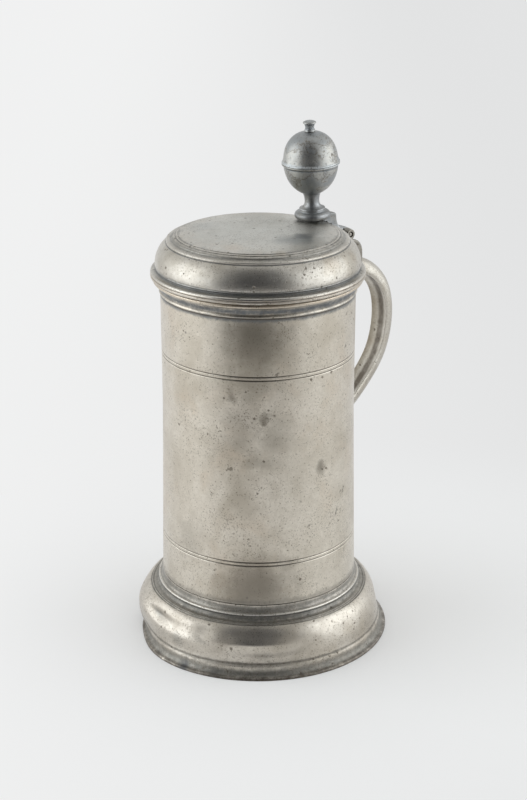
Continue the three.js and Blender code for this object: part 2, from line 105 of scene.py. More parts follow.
def groove(centre: Point, slope: Point, width: float, depth: float) -> np.ndarray:
    """Three points of a V cut into an outline that runs along a slope, its solid on the left.

    Args:
        centre: radius and height of the groove's middle on the surface, in mm.
        slope: direction in which the outline runs.
        width: width in mm.
        depth: depth in mm.

    Returns:
        Rows of radius and height: near lip, bottom and far lip.
    """
    middle = np.array(centre, dtype=float)
    run = np.array(slope, dtype=float) / np.hypot(*slope)
    inward = np.array([-run[1], run[0]])
    return np.vstack([middle - run * width / 2, middle + inward * depth, middle + run * width / 2])


def softened(outline: np.ndarray, radius: float, closed: bool) -> np.ndarray:
    """Rounds the sharp corners of an outline, each with a parabola between points set back from it.

    Args:
        outline: rows of radius and height in mm.
        radius: how far each corner is set back, at most a third of its shorter side.
        closed: True if the last point joins the first.

    Returns:
        The outline with six points for each corner that turns sharply: two just outside the parabola
        that keep its neighbours flat, and those at 0, 1/3, 2/3 and 1 along it.
    """
    back = np.roll(outline, 1, axis=0) - outline
    ahead = np.roll(outline, -1, axis=0) - outline
    long_back = np.maximum(np.linalg.norm(back, axis=1, keepdims=True), TINY)
    long_ahead = np.maximum(np.linalg.norm(ahead, axis=1, keepdims=True), TINY)
    back, ahead = back / long_back, ahead / long_ahead
    reach = np.minimum(radius, np.minimum(long_back, long_ahead) / 3)
    start, stop = outline + back * reach, outline + ahead * reach
    t = np.linspace(0, 1, 4)[None, :, None]
    curve = (1 - t) ** 2 * start[:, None] + 2 * t * (1 - t) * outline[:, None] + t**2 * stop[:, None]
    before, after = start + back * reach / 2, stop + ahead * reach / 2
    corners = np.concatenate([before[:, None], curve, after[:, None]], axis=1)
    sharp = (back * ahead).sum(axis=1) > -math.cos(math.radians(SHARP_TURN))
    if not closed:
        sharp[[0, -1]] = False
    corners[~sharp, 0] = outline[~sharp]
    keep = np.tile(sharp[:, None], (1, 6))
    keep[:, 0] = True
    return corners[keep]


def braced(outline: np.ndarray, closed: bool) -> np.ndarray:
    """Adds a point a little away from each end of every long stretch of an outline.

    What is stored at the corners then fades within that distance.

    Args:
        outline: rows of radius and height in mm.
        closed: True if the last point joins the first.

    Returns:
        The outline with the added points.
    """
    ahead = np.roll(outline, -1, axis=0) - outline
    length = np.linalg.norm(ahead, axis=1)
    run = ahead / np.maximum(length, TINY)[:, None] * BRACE
    rows = np.stack([outline, outline + run, outline + ahead - run], axis=1)
    keep = np.tile((length > 3 * BRACE)[:, None], (1, 3))
    keep[:, 0] = True
    if not closed:
        keep[-1, 1:] = False
    return rows[keep]


def hollowness(outline: np.ndarray, closed: bool, reach: float = 0.35) -> np.ndarray:
    """How hollow (above 0) or proud (below 0) an outline is: its turning, blurred over a reach.

    Args:
        outline: rows of radius and height in mm, with the solid on the left.
        closed: True if the last point joins the first.
        reach: width of the blur in mm.

    Returns:
        One value a point, in radians for each mm.
    """
    a, b = outline - np.roll(outline, 1, axis=0), np.roll(outline, -1, axis=0) - outline
    turn = -np.arctan2(a[:, 0] * b[:, 1] - a[:, 1] * b[:, 0], (a * b).sum(axis=1))
    if not closed:
        turn[[0, -1]] = 0
    gap = outline[:, None, :] - outline[None, :, :]
    weight = np.exp(-(gap**2).sum(axis=2) / (2 * reach**2))
    return weight @ turn / (reach * math.sqrt(2 * math.pi))


def run_along(points: np.ndarray, power: float = 1.0) -> np.ndarray:
    """Sum of the steps of a line up to each point, with each step raised to a power."""
    return np.append(0.0, np.cumsum(np.linalg.norm(np.diff(points, axis=0), axis=1) ** power))


def grid_quads(rows: int, columns: int, round_rows: bool, round_columns: bool) -> np.ndarray:
    """Quads of a grid whose points are numbered row by row.

    Args:
        rows: number of rows.
        columns: number of columns.
        round_rows: True if the last row joins the first.
        round_columns: True if the last column joins the first.

    Returns:
        Four point numbers for each quad: here, in the next row, beyond it, in the next column.
    """
    here = np.arange(rows * columns).reshape(rows, columns)
    here = np.vstack([here, here[:1]]) if round_rows else here
    here = np.hstack([here, here[:, :1]]) if round_columns else here
    quads = np.stack([here[:-1, :-1], here[1:, :-1], here[1:, 1:], here[:-1, 1:]], axis=2)
    return quads.reshape(-1, 4)


def add_object(name: str, data: bpy.types.ID) -> Thing:
    """Puts a mesh, a lamp or a camera into the scene.

    Args:
        name: the object's name.
        data: what it holds.

    Returns:
        The new object.
    """
    thing = bpy.data.objects.new(name, data)
    bpy.context.scene.collection.objects.link(thing)
    return thing


def add_mesh(name: str, points: np.ndarray, faces: list[list[int]]) -> Thing:
    """Makes a smooth-shaded object at the origin.

    Args:
        name: the object's name.
        points: rows of x, y and z in mm.
        faces: the point numbers of each face, going round it as seen from outside.

    Returns:
        The new object.
    """
    mesh = bpy.data.meshes.new(name)
    mesh.from_pydata((points * MM).tolist(), [], faces)
    mesh.polygons.foreach_set("use_smooth", np.full(len(mesh.polygons), True))
    return add_object(name, mesh)


def add_values(thing: Thing, name: str, values: np.ndarray) -> None:
    """Stores one number a vertex under a name that the materials read."""
    attribute = thing.data.attributes.new(name, "FLOAT", "POINT")
    attribute.data.foreach_set("value", values.astype(np.float32))


@dataclass(frozen=True)
class Dent:
    """A knock in a turned wall: an oval hollow, or a bulge if its depth is below 0.

    Sizes are in mm. The place is an angle in degrees round the cup's axis and a height, and the
    oval's half lengths are along the wall and across it, before a tilt in degrees.
    """

    angle: float
    height: float
    along: float
    across: float
    depth: float
    tilt: float = 0.0

    def depth_at(self, angle: np.ndarray, height: np.ndarray, radius: np.ndarray) -> np.ndarray:
        """Depth at places on the wall: a bell curve of the distance from the middle.

        Args:
            angle: angles round the axis in radians.
            height: heights in mm.
            radius: radii in mm.

        Returns:
            Depths in mm.
        """
        gap = angle - math.radians(self.angle)
        side = np.arctan2(np.sin(gap), np.cos(gap)) * radius
        up = height - self.height
        c, s = math.cos(math.radians(self.tilt)), math.sin(math.radians(self.tilt))
        u, v = (side * c + up * s) / self.along, (up * c - side * s) / self.across
        return self.depth * np.exp(-(u**2) - v**2)


@dataclass
class Turned:
    """A turned piece: an outline of radii and heights carried round an axis.

    The outline has its solid on the left. It either closes on itself or runs from axis to axis.
    Sizes are in mm, and place is the matrix that sets the axis.
    """

    name: str
    outline: np.ndarray
    steps: int
    closed: bool
    place: Matrix
    soft: float = 0.2
    dents: tuple[Dent, ...] = ()

    def build(self) -> Thing:
        """Builds the mesh: x = r cos a, y = r sin a and z = height, on a grid of angle by outline.

        Returns:
            The object, with its hollowness and its distance along the outline as vertex values.
        """
        line = braced(softened(self.outline, self.soft, self.closed), self.closed)
        hollow = hollowness(line, self.closed)
        along = run_along(line)
        ends = line[[0, -1], 1]
        if not self.closed:
            line, hollow, along = line[1:-1], hollow[1:-1], along[1:-1]
        angle = np.linspace(0, 2 * np.pi, self.steps, endpoint=False)[:, None]
        radius, height = line[None, :, 0], line[None, :, 1]
        reach = radius - sum((dent.depth_at(angle, height, radius) for dent in self.dents), 0.0)
        grid = np.stack(
            [reach * np.cos(angle), reach * np.sin(angle), height + 0 * angle], axis=2
        ).reshape(-1, 3)
        faces = grid_quads(self.steps, len(line), True, self.closed).tolist()
        values = [np.tile(hollow, self.steps), np.tile(along, self.steps)]
        if not self.closed:
            low = np.arange(self.steps) * len(line)
            high, bottom = low + len(line) - 1, np.full(self.steps, len(grid))
            faces += np.column_stack([bottom, np.roll(low, -1), low]).tolist()
            faces += np.column_stack([bottom + 1, high, np.roll(high, -1)]).tolist()
            grid = np.vstack([grid, [[0, 0, end] for end in ends]])
            values = [np.append(row, row[[0, len(line) - 1]]) for row in values]
        points = grid @ np.array(self.place.to_3x3()).T + np.array(self.place.translation)
        thing = add_mesh(self.name, points, faces)
        add_values(thing, "hollow", values[0])
        add_values(thing, "along", values[1] * MM)
        return thing


class Tree:
    """Short ways to add and join nodes in one node tree."""

    def __init__(self, tree: bpy.types.NodeTree) -> None:
        """Keeps the tree that nodes go into."""
        self.tree = tree

    def add(self, kind: str, inputs: dict | None = None, **settings: object) -> bpy.types.Node:
        """Adds a node.

        Args:
            kind: the node's type name.
            inputs: values or sockets for its inputs, by name or number.
            settings: properties of the node.

        Returns:
            The new node.
        """
        node = self.tree.nodes.new(kind)
        for key, value in settings.items():
            setattr(node, key, value)
        for key, value in (inputs or {}).items():
            self.feed(node.inputs[key], value)
        return node

    def feed(self, socket: Socket, value: Value) -> None:
        """Sets an input to a value, or joins it to another node's socket.

        Args:
            socket: the input.
            value: what feeds it.
        """
        if isinstance(value, Socket):
            self.tree.links.new(value, socket)
        else:
            socket.default_value = value

    def calc(self, kind: str, *values: Value) -> Socket:
        """Adds a Math node of a kind and feeds it in order; returns its result."""
        return self.add("ShaderNodeMath", dict(enumerate(values)), operation=kind).outputs[0]

    def times(self, first: Value, second: Value) -> Socket:
        """Multiplies two values; returns the result."""
        return self.calc("MULTIPLY", first, second)

    def scaled(self, value: Value, factor: Value, start: Value) -> Socket:
        """Adds a value times a factor to a start; returns the result."""
        return self.calc("MULTIPLY_ADD", value, factor, start)

    def gap(self, first: Value, second: Value) -> Socket:
        """Distance between two numbers."""
        return self.calc("ABSOLUTE", self.calc("SUBTRACT", first, second))

    def vector(self, kind: str, **inputs: Value) -> Socket:
        """Adds a Vector Math node of a kind with inputs a, b and scale.

        Args:
            kind: its operation.
            inputs: what feeds it, by the names above.

        Returns:
            Its length for the kind LENGTH, or else its vector.
        """
        places = {"a": 0, "b": 1, "scale": "Scale"}
        fed = {places[key]: value for key, value in inputs.items()}
        node = self.add("ShaderNodeVectorMath", fed, operation=kind)
        return node.outputs["Value" if kind == "LENGTH" else "Vector"]

    def spread(
        self, value: Value, low: Value, high: Value, start: float = 0.0, stop: float = 1.0
    ) -> Socket:
        """Maps a value smoothly from low..high to start..stop; returns the result."""
        inputs = {"Value": value, "From Min": low, "From Max": high, "To Min": start, "To Max": stop}
        return self.add("ShaderNodeMapRange", inputs, interpolation_type="SMOOTHSTEP").outputs[0]

    def blend(self, factor: Value, first: Value, second: Value) -> Socket:
        """Mixes two colours.

        Args:
            factor: share of the second, from 0 to 1.
            first: a colour or its socket.
            second: a colour or its socket.

        Returns:
            The mixed colour.
        """
        node = self.add("ShaderNodeMix", {"Factor": factor}, data_type="RGBA")
        for key, value in (("A", first), ("B", second)):
            socket = next(s for s in node.inputs if s.name == key and s.type == "RGBA")
            self.feed(socket, (*value, 1.0) if isinstance(value, tuple) else value)
        return next(s for s in node.outputs if s.type == "RGBA")

    def lay(self, under: Value, mask: Value, strength: float, colour: Value) -> Socket:
        """Lays a colour over another where a mask is, at a strength; returns the result."""
        return self.blend(self.times(mask, strength), under, colour)

    def noise(self, vector: Value, scale: Value, detail: float = 3.0, rough: float = 0.55) -> Socket:
        """Adds a noise texture; returns its number."""
        inputs = {"Vector": vector, "Scale": scale, "Detail": detail, "Roughness": rough}
        return self.add("ShaderNodeTexNoise", inputs).outputs[0]

    def use(self, effect: bpy.types.NodeTree, **values: Value) -> bpy.types.bpy_prop_collection:
        """Places one of the shared effects with its own values; returns its outputs."""
        return self.add("ShaderNodeGroup", values, node_tree=effect).outputs

    def cover(self, kind: str, inputs: dict) -> None:
        """Ends a material with a shader of a kind, fed by inputs by name or number."""
        shader = self.add(kind, inputs)
        self.add("ShaderNodeOutputMaterial", {"Surface": shader.outputs[0]})

    def finish(self, **outputs: Socket) -> bpy.types.NodeTree:
        """Ends a node group.

        Args:
            outputs: what feeds each of its outputs, by name.

        Returns:
            The group.
        """
        for key in outputs:
            self.tree.interface.new_socket(key, in_out="OUTPUT", socket_type="NodeSocketFloat")
        self.add("NodeGroupOutput", outputs)
        return self.tree


def new_material(name: str) -> tuple[bpy.types.Material, Tree]:
    """Starts a material without nodes.

    Args:
        name: the material's name.

    Returns:
        The material and its Tree.
    """
    material = bpy.data.materials.new(name)
    material.use_nodes = True
    material.node_tree.nodes.clear()
    return material, Tree(material.node_tree)


class Effects:
    """Effects that several finishes share, each a node group that is built once."""

    @staticmethod
    def start(name: str, vectors: str, numbers: str) -> list:
        """Starts a node group.

        Args:
            name: the group's name.
            vectors: names of its vector inputs, with spaces between them.
            numbers: names of its number inputs, likewise.

        Returns:
            Its Tree, then the socket of each input in order.
        """
        group = bpy.data.node_groups.new(name, "ShaderNodeTree")
        for kind, keys in (("NodeSocketVector", vectors), ("NodeSocketFloat", numbers)):
            for key in keys.split():
                group.interface.new_socket(key, in_out="INPUT", socket_type=kind)
        t = Tree(group)
        return [t, *t.add("NodeGroupInput").outputs[:-1]]

    @staticmethod
    @cache
    def pits() -> bpy.types.NodeTree:
        """Corrosion pits: round spots in a random pattern of cells.

        A cell has a pit if its random number is under the density, which swells and ebbs in clouds.

        Returns:
            The group, with Mask going from 0 on sound metal to 1 in a pit.
        """
        t, here, scale, density, size = Effects.start("Pits", "Vector", "Scale Density Size")
        cells = t.add("ShaderNodeTexVoronoi", {"Vector": here, "Scale": scale})
        chance = t.add("ShaderNodeSeparateColor", {0: cells.outputs["Color"]})
        cloud = t.spread(t.noise(here, t.times(scale, 0.13), 2.0), 0.42, 0.68)
        limit = t.times(density, t.calc("ADD", cloud, 0.12))
        keep = t.calc("LESS_THAN", chance.outputs[0], limit)
        wide = t.times(size, t.scaled(chance.outputs[1], 0.7, 0.3))
        ragged = t.times(t.noise(here, t.times(scale, 2.5), 2.0), 0.4)
        gap = t.calc("ADD", cells.outputs["Distance"], t.calc("SUBTRACT", ragged, 0.2))
        return t.finish(Mask=t.times(keep, t.spread(gap, t.times(wide, 0.5), wide, 1.0, 0.0)))

    @staticmethod
    @cache
    def clouds() -> bpy.types.NodeTree:
        """Cloudy tarnishing: noise that is bent by a coarser noise, then cut to a range.

        Returns:
            The group, with Mask from 0 to 1 and the thin Tide line that a drying drop leaves.
        """
        t, here, scale, low, high = Effects.start("Clouds", "Vector", "Scale Low High")
        coarse = {"Vector": here, "Scale": t.times(scale, 0.7), "Detail": 2.0}
        bend = t.add("ShaderNodeTexNoise", coarse).outputs["Color"]
        moved = t.vector("SCALE", a=bend, scale=t.calc("DIVIDE", 0.9, scale))
        cloud = t.noise(t.vector("ADD", a=here, b=moved), scale, 6.0, 0.6)
        rim = t.gap(cloud, t.scaled(low, 0.5, 0.27))
        return t.finish(Mask=t.spread(cloud, low, high), Tide=t.spread(rim, 0.0, 0.018, 1.0, 0.0))

    @staticmethod
    @cache
    def speckle() -> bpy.types.NodeTree:
        """Fine ragged corrosion: the peaks of a fine noise, more of them where a coarse one is high.

        Returns:
            The group, with Mask from 0 to 1 in a speck.
        """
        t, here, scale, amount = Effects.start("Speckle", "Vector", "Scale Amount")
        fine = t.noise(here, scale, 3.0, 0.6)
        coarse = t.spread(t.noise(here, t.times(scale, 0.045), 4.0), 0.3, 0.75)
        low = t.calc("SUBTRACT", 0.735, t.times(amount, t.scaled(coarse, 0.075, 0.085)))
        return t.finish(Mask=t.spread(fine, low, t.calc("ADD", low, 0.05)))

    @staticmethod
    @cache
    def turning() -> bpy.types.NodeTree:
        """Marks of the lathe: noise that changes fast along the outline and slowly round the axis.

        Returns:
            The group, with Tone from 0 to 1.
        """
        t, here, along, fineness = Effects.start("Turning", "Vector", "Along Fineness")
        parts = t.add("ShaderNodeSeparateXYZ", {0: here}).outputs
        run = t.times(along, fineness)
        place = {"X": run, "Y": t.times(parts[0], 14.0), "Z": t.times(parts[1], 14.0)}
        return t.finish(Tone=t.noise(t.add("ShaderNodeCombineXYZ", place).outputs[0], 1.0, 2.0, 0.6))

    @staticmethod
    @cache
    def scratches() -> bpy.types.NodeTree:
        """Fine scratches: the thin zero line of a long stretched noise, shown here and there.

        Returns:
            The group, with Mask from 0 to 1 in a scratch.
        """
        t, here, turn, scale, amount = Effects.start("Scratches", "Vector Turn", "Scale Amount")
        turned = {"Vector": here, "Rotation": turn, "Scale": (0.06, 0.6, 1.0)}
        place = t.add("ShaderNodeMapping", turned).outputs[0]
        line = t.gap(t.noise(place, scale, 1.0), 0.5)
        gate = t.spread(t.noise(here, t.times(scale, 0.2), 2.0), 0.5, 0.62)
        mask = t.times(t.spread(line, 0.0, 0.006, 1.0, 0.0), gate)
        return t.finish(Mask=t.times(mask, amount))

    @staticmethod
    @cache
    def patch() -> bpy.types.NodeTree:
        """A single ragged patch: the distance from a place, roughened by noise.

        Returns:
            The group, with Mask from 1 in its middle to 0 at its edge.
        """
        inputs = Effects.start("Patch", "Vector Place Stretch", "Reach Ragged Tilt")
        t, here, place, stretch, reach, ragged, tilt = inputs
        off = {"Vector": t.vector("SUBTRACT", a=here, b=place), "Angle": tilt}
        turned = t.add("ShaderNodeVectorRotate", off, rotation_type="Y_AXIS").outputs[0]
        length = t.vector("LENGTH", a=t.vector("MULTIPLY", a=turned, b=stretch))
        rough = t.scaled(t.noise(here, 130.0, 5.0, 0.65), ragged, 0.5)
        rim = t.times(reach, t.calc("ADD", rough, t.times(ragged, -0.5)))
        return t.finish(Mask=t.spread(length, t.times(rim, 0.2), t.times(rim, 2.0), 1.0, 0.0))

    @staticmethod
    @cache
    def band() -> bpy.types.NodeTree:
        """A ragged band round the piece: the distance from a height, roughened by noise.

        Returns:
            The group, with Mask from 1 at the height to 0 past the reach.
        """
        t, here, height, reach = Effects.start("Band", "Vector", "Height Reach")
        parts = t.add("ShaderNodeSeparateXYZ", {0: here})
        gap = t.gap(parts.outputs[2], height)
        rim = t.times(reach, t.scaled(t.noise(here, 220.0, 6.0, 0.75), 2.6, -0.4))
        even = t.spread(gap, t.times(rim, 0.1), rim, 1.0, 0.0)
        patchy = t.spread(t.noise(here, 420.0, 4.0, 0.7), 0.3, 0.6, 0.7, 1.0)
        return t.finish(Mask=t.times(even, patchy))


@dataclass(frozen=True)
class Band:
    """A band of colour round a piece, mostly tarnished metal, in some finishes painted shade and in one
    a
    painted highlight: its height and reach in mm, its strength and colour.
    """

    height: float
    reach: float
    strength: float
    colour: Colour

    def mask(self, t: Tree, place: Socket) -> Socket:
        """Adds the band to a material; returns its mask."""
        return t.use(Effects.band(), Vector=place, Height=self.height * MM, Reach=self.reach * MM)[0]


@dataclass(frozen=True)
class Patch:
    """One patch: a stain, a scratch or an area of pits, and in some finishes painted shade, a painted
    reflection or a painted highlight. Its place in mm round the cup's axis, reach, strength, shape and
    colour.

    The stretch divides its reach along x, y and z, after a turn of tilt degrees about y.
    """

    angle: float
    height: float
    radius: float
    reach: float
    strength: float
    colour: Colour = (0.16, 0.145, 0.12)
    stretch: Triple = (1.0, 1.0, 1.0)
    ragged: float = 1.3
    tilt: float = 0.0

    def mask(self, t: Tree, place: Socket) -> Socket:
        """Adds the stain to a material.

        Args:
            t: the material's tree.
            place: the place on the piece.

        Returns:
            The stain's mask.
        """
        turn = math.radians(self.angle)
        x, y = CUP_AXIS + self.radius * math.cos(turn), self.radius * math.sin(turn)
        middle = (x * MM, y * MM, self.height * MM)
        reach, tilt = self.reach * MM, math.radians(self.tilt)
        return t.use(Effects.patch(), Vector=place, Place=middle, Stretch=self.stretch, Reach=reach,
                     Ragged=self.ragged, Tilt=tilt)[0]


@dataclass(frozen=True)
class Pewter:
    """Worn satin pewter: its colours, how much dirt, pitting and staining it has, and its polish.

    Scales are in waves or cells a metre, and wobble is in mm. The mottle and the warm clouds hold
    their share of the clouds' scale, and where their masks begin and end. The patches come first,
    then the bands and the grime, and the patches in over lie on top. Some patches and bands are
    painted shade, reflection or highlight, not the metal's own colour.
    """

    name: str
    bright: Colour = (0.63, 0.60, 0.525)
    dull: Colour = (0.44, 0.405, 0.335)
    hollow: Colour = (0.27, 0.285, 0.29)
    pit: Colour = (0.14, 0.113, 0.08)
    tan: Colour = (0.50, 0.43, 0.32)
    rough: float = 0.36
    tide: float = 0.0
    cloud_scale: float = 28.0
    cloud_low: float = 0.42
    cloud_high: float = 0.72
    mottle: Triple = (4.6, 0.4, 0.7)
    mottling: float = 0.35
    warm: Triple = (1.7, 0.5, 0.75)
    tan_amount: float = 0.25
    hollow_range: Point = (0.12, 1.1)
    edge_range: Point = (-1.3, -0.15)
    edge_wear: float = 0.55
    dirt: float = 0.8
    pit_scale: float = 330.0
    pit_density: float = 0.3
    speck_scale: float = 780.0
    speck_density: float = 0.9
    speck_share: float = 1.6
    speckle_scale: float = 1300.0
    speckle: float = 1.0
    scratch_scale: float = 60.0
    scratch: float = 0.35
    fineness: float = 2600.0
    turning: float = 0.5
    turning_tone: float = 0.3
    wobble_scale: float = 34.0
    wobble: float = 0.12
    grain_scale: float = 900.0
    grain: float = 0.5
    shift: Triple = (0.0, 0.0, 0.0)
    coat: float = 0.45
    coat_rough: float = 0.3
    pitted: tuple[Patch, ...] = ()
    patches: tuple[Patch, ...] = ()
    bands: tuple[Band, ...] = ()
    over: tuple[Patch, ...] = ()

    def corrosion(self, t: Tree, place: Socket, spot: Socket) -> dict[str, Socket]:
        """Adds the pits, specks, speckle and scratches, with more pits in the pitted areas.

        Args:
            t: the material's tree.
            place: the place on the piece.
            spot: the same place, shifted for this finish.

        Returns:
            Their masks, by name.
        """
        dense, fine = self.pit_density, self.speck_density
        for area in self.pitted:
            near = area.mask(t, place)
            dense = t.scaled(near, area.strength, dense)
            fine = t.scaled(near, self.speck_share * area.strength, fine)
        pits, speckle, scratches = Effects.pits(), Effects.speckle(), Effects.scratches()
        turn = (0.3, 0.9, 0.4)
        return {
            "pits": t.use(pits, Vector=spot, Scale=self.pit_scale, Density=dense, Size=0.32)[0],
            "specks": t.use(pits, Vector=spot, Scale=self.speck_scale, Density=fine, Size=0.38)[0],
            "speckle": t.use(speckle, Vector=spot, Scale=self.speckle_scale, Amount=self.speckle)[0],
            "scratch": t.use(scratches, Vector=spot, Turn=turn, Scale=self.scratch_scale,
                             Amount=self.scratch)[0],
        }

    def masks(self, t: Tree, place: Socket) -> dict[str, Socket]:
        """Adds the patterns that the colour, the polish and the relief share.

        Args:
            t: the material's tree.
            place: the place on the piece.

        Returns:
            The masks by name, and the shifted place as spot.
        """
        spot = t.add("ShaderNodeMapping", {"Vector": place, "Location": self.shift}).outputs[0]
        along = t.add("ShaderNodeAttribute", attribute_name="along").outputs["Fac"]
        bend = t.add("ShaderNodeAttribute", attribute_name="hollow").outputs["Fac"]
        main, mottle, warm = (
            t.use(Effects.clouds(), Vector=spot, Scale=self.cloud_scale * share, Low=low, High=high)
            for share, low, high in ((1.0, self.cloud_low, self.cloud_high), self.mottle, self.warm)
        )
        return {
            "spot": spot,
            "clouds": main["Mask"],
            "tide": main["Tide"],
            "mottle": mottle["Mask"],
            "warm": warm["Mask"],
            "marks": t.use(Effects.turning(), Vector=spot, Along=along, Fineness=self.fineness)[0],
            "in_hollow": t.spread(bend, *self.hollow_range),
            "on_edge": t.spread(bend, *self.edge_range, 1.0, 0.0),
            **self.corrosion(t, place, spot),
        }

    def colour(self, t: Tree, place: Socket, m: dict[str, Socket], bands: list[Socket]) -> Socket:
        """Lays the colours over each other, from clouds through patches, bands and grime to pits; some
        patches and bands are painted shade, reflection or highlight.

        Args:
            t: the material's tree.
            place: the place on the piece.
            m: the masks of the patterns, by name.
            bands: the masks of the bands.

        Returns:
            The finished colour.
        """
        colour = t.blend(m["clouds"], self.bright, self.dull)
        colour = t.lay(colour, m["mottle"], self.mottling, self.dull)
        colour = t.lay(colour, m["warm"], self.tan_amount, self.tan)
        if self.tide:
            colour = t.lay(colour, m["tide"], self.tide, self.pit)
        tone = t.spread(m["marks"], 0.25, 0.75, 0.0, self.turning_tone * self.turning)
        colour = t.lay(t.blend(tone, colour, self.dull), m["on_edge"], self.edge_wear, self.bright)
        fine = t.spread(t.noise(m["spot"], self.grain_scale, 3.0, 0.7), 0.35, 0.75, 0.0, self.grain)
        colour = t.blend(fine, colour, self.dull)
        # Patches and bands: stains and tarnish, and in some finishes painted shade, painted reflection
        # and a painted highlight.
        for patch in self.patches:
            colour = t.lay(colour, patch.mask(t, place), patch.strength, patch.colour)
        for band, mask in zip(self.bands, bands):
            colour = t.lay(colour, mask, band.strength, band.colour)
        grime = t.times(m["in_hollow"], t.scaled(m["mottle"], self.mottling, self.dirt))
        colour = t.blend(t.calc("MINIMUM", grime, 1.0), colour, self.hollow)
        for patch in self.over:
            colour = t.lay(colour, patch.mask(t, place), patch.strength, patch.colour)
        for key, strength in (("speckle", 0.5), ("specks", 0.5), ("pits", 0.66), ("scratch", 0.4)):
            colour = t.lay(colour, m[key], strength, self.pit)
        return colour

    def polish(self, t: Tree, m: dict[str, Socket], bands: list[Socket]) -> Socket:
        """Adds each mask's share to the plain roughness.

        Args:
            t: the material's tree.
            m: the masks of the patterns, by name.
            bands: the masks of the bands.

        Returns:
            The roughness.
        """
        rough = self.rough
        shares = {"clouds": 0.10, "mottle": 0.05, "in_hollow": 0.14, "on_edge": -0.07, "pits": 0.25}
        for key, share in shares.items():
            rough = t.scaled(m[key], share, rough)
        for mask in bands:
            rough = t.scaled(mask, 0.14, rough)
        return rough

    def relief(self, t: Tree, m: dict[str, Socket]) -> Socket:
        """Adds each mask's height in mm to a slow wobble of the surface.

        Args:
            t: the material's tree.
            m: the masks of the patterns, by name.

        Returns:
            The bent normal.
        """
        relief = t.times(t.noise(m["spot"], self.wobble_scale, 2.0), self.wobble * MM)
        heights = {"marks": 0.004 * self.turning, "mottle": -0.008, "pits": -0.10, "specks": -0.03,
                   "speckle": -0.02, "scratch": -0.015}
        for key, height in heights.items():
            relief = t.scaled(m[key], height * MM, relief)
        bump = t.add("ShaderNodeBump", {"Strength": 1.0, "Distance": 1.0, "Height": relief})
        return bump.outputs[0]

    def material(self) -> bpy.types.Material:
        """Builds the material.

        Returns:
            The new material.
        """
        material, t = new_material(self.name)
        place = t.add("ShaderNodeTexCoord").outputs["Object"]
        masks = self.masks(t, place)
        bands = [band.mask(t, place) for band in self.bands]
        t.cover("ShaderNodeBsdfPrincipled", {
            "Base Color": self.colour(t, place, masks, bands),
            "Roughness": self.polish(t, masks, bands),
            "Normal": self.relief(t, masks),
            "Metallic": 1.0,
            "Coat Weight": self.coat,
            "Coat Roughness": self.coat_rough,
        })
        return material


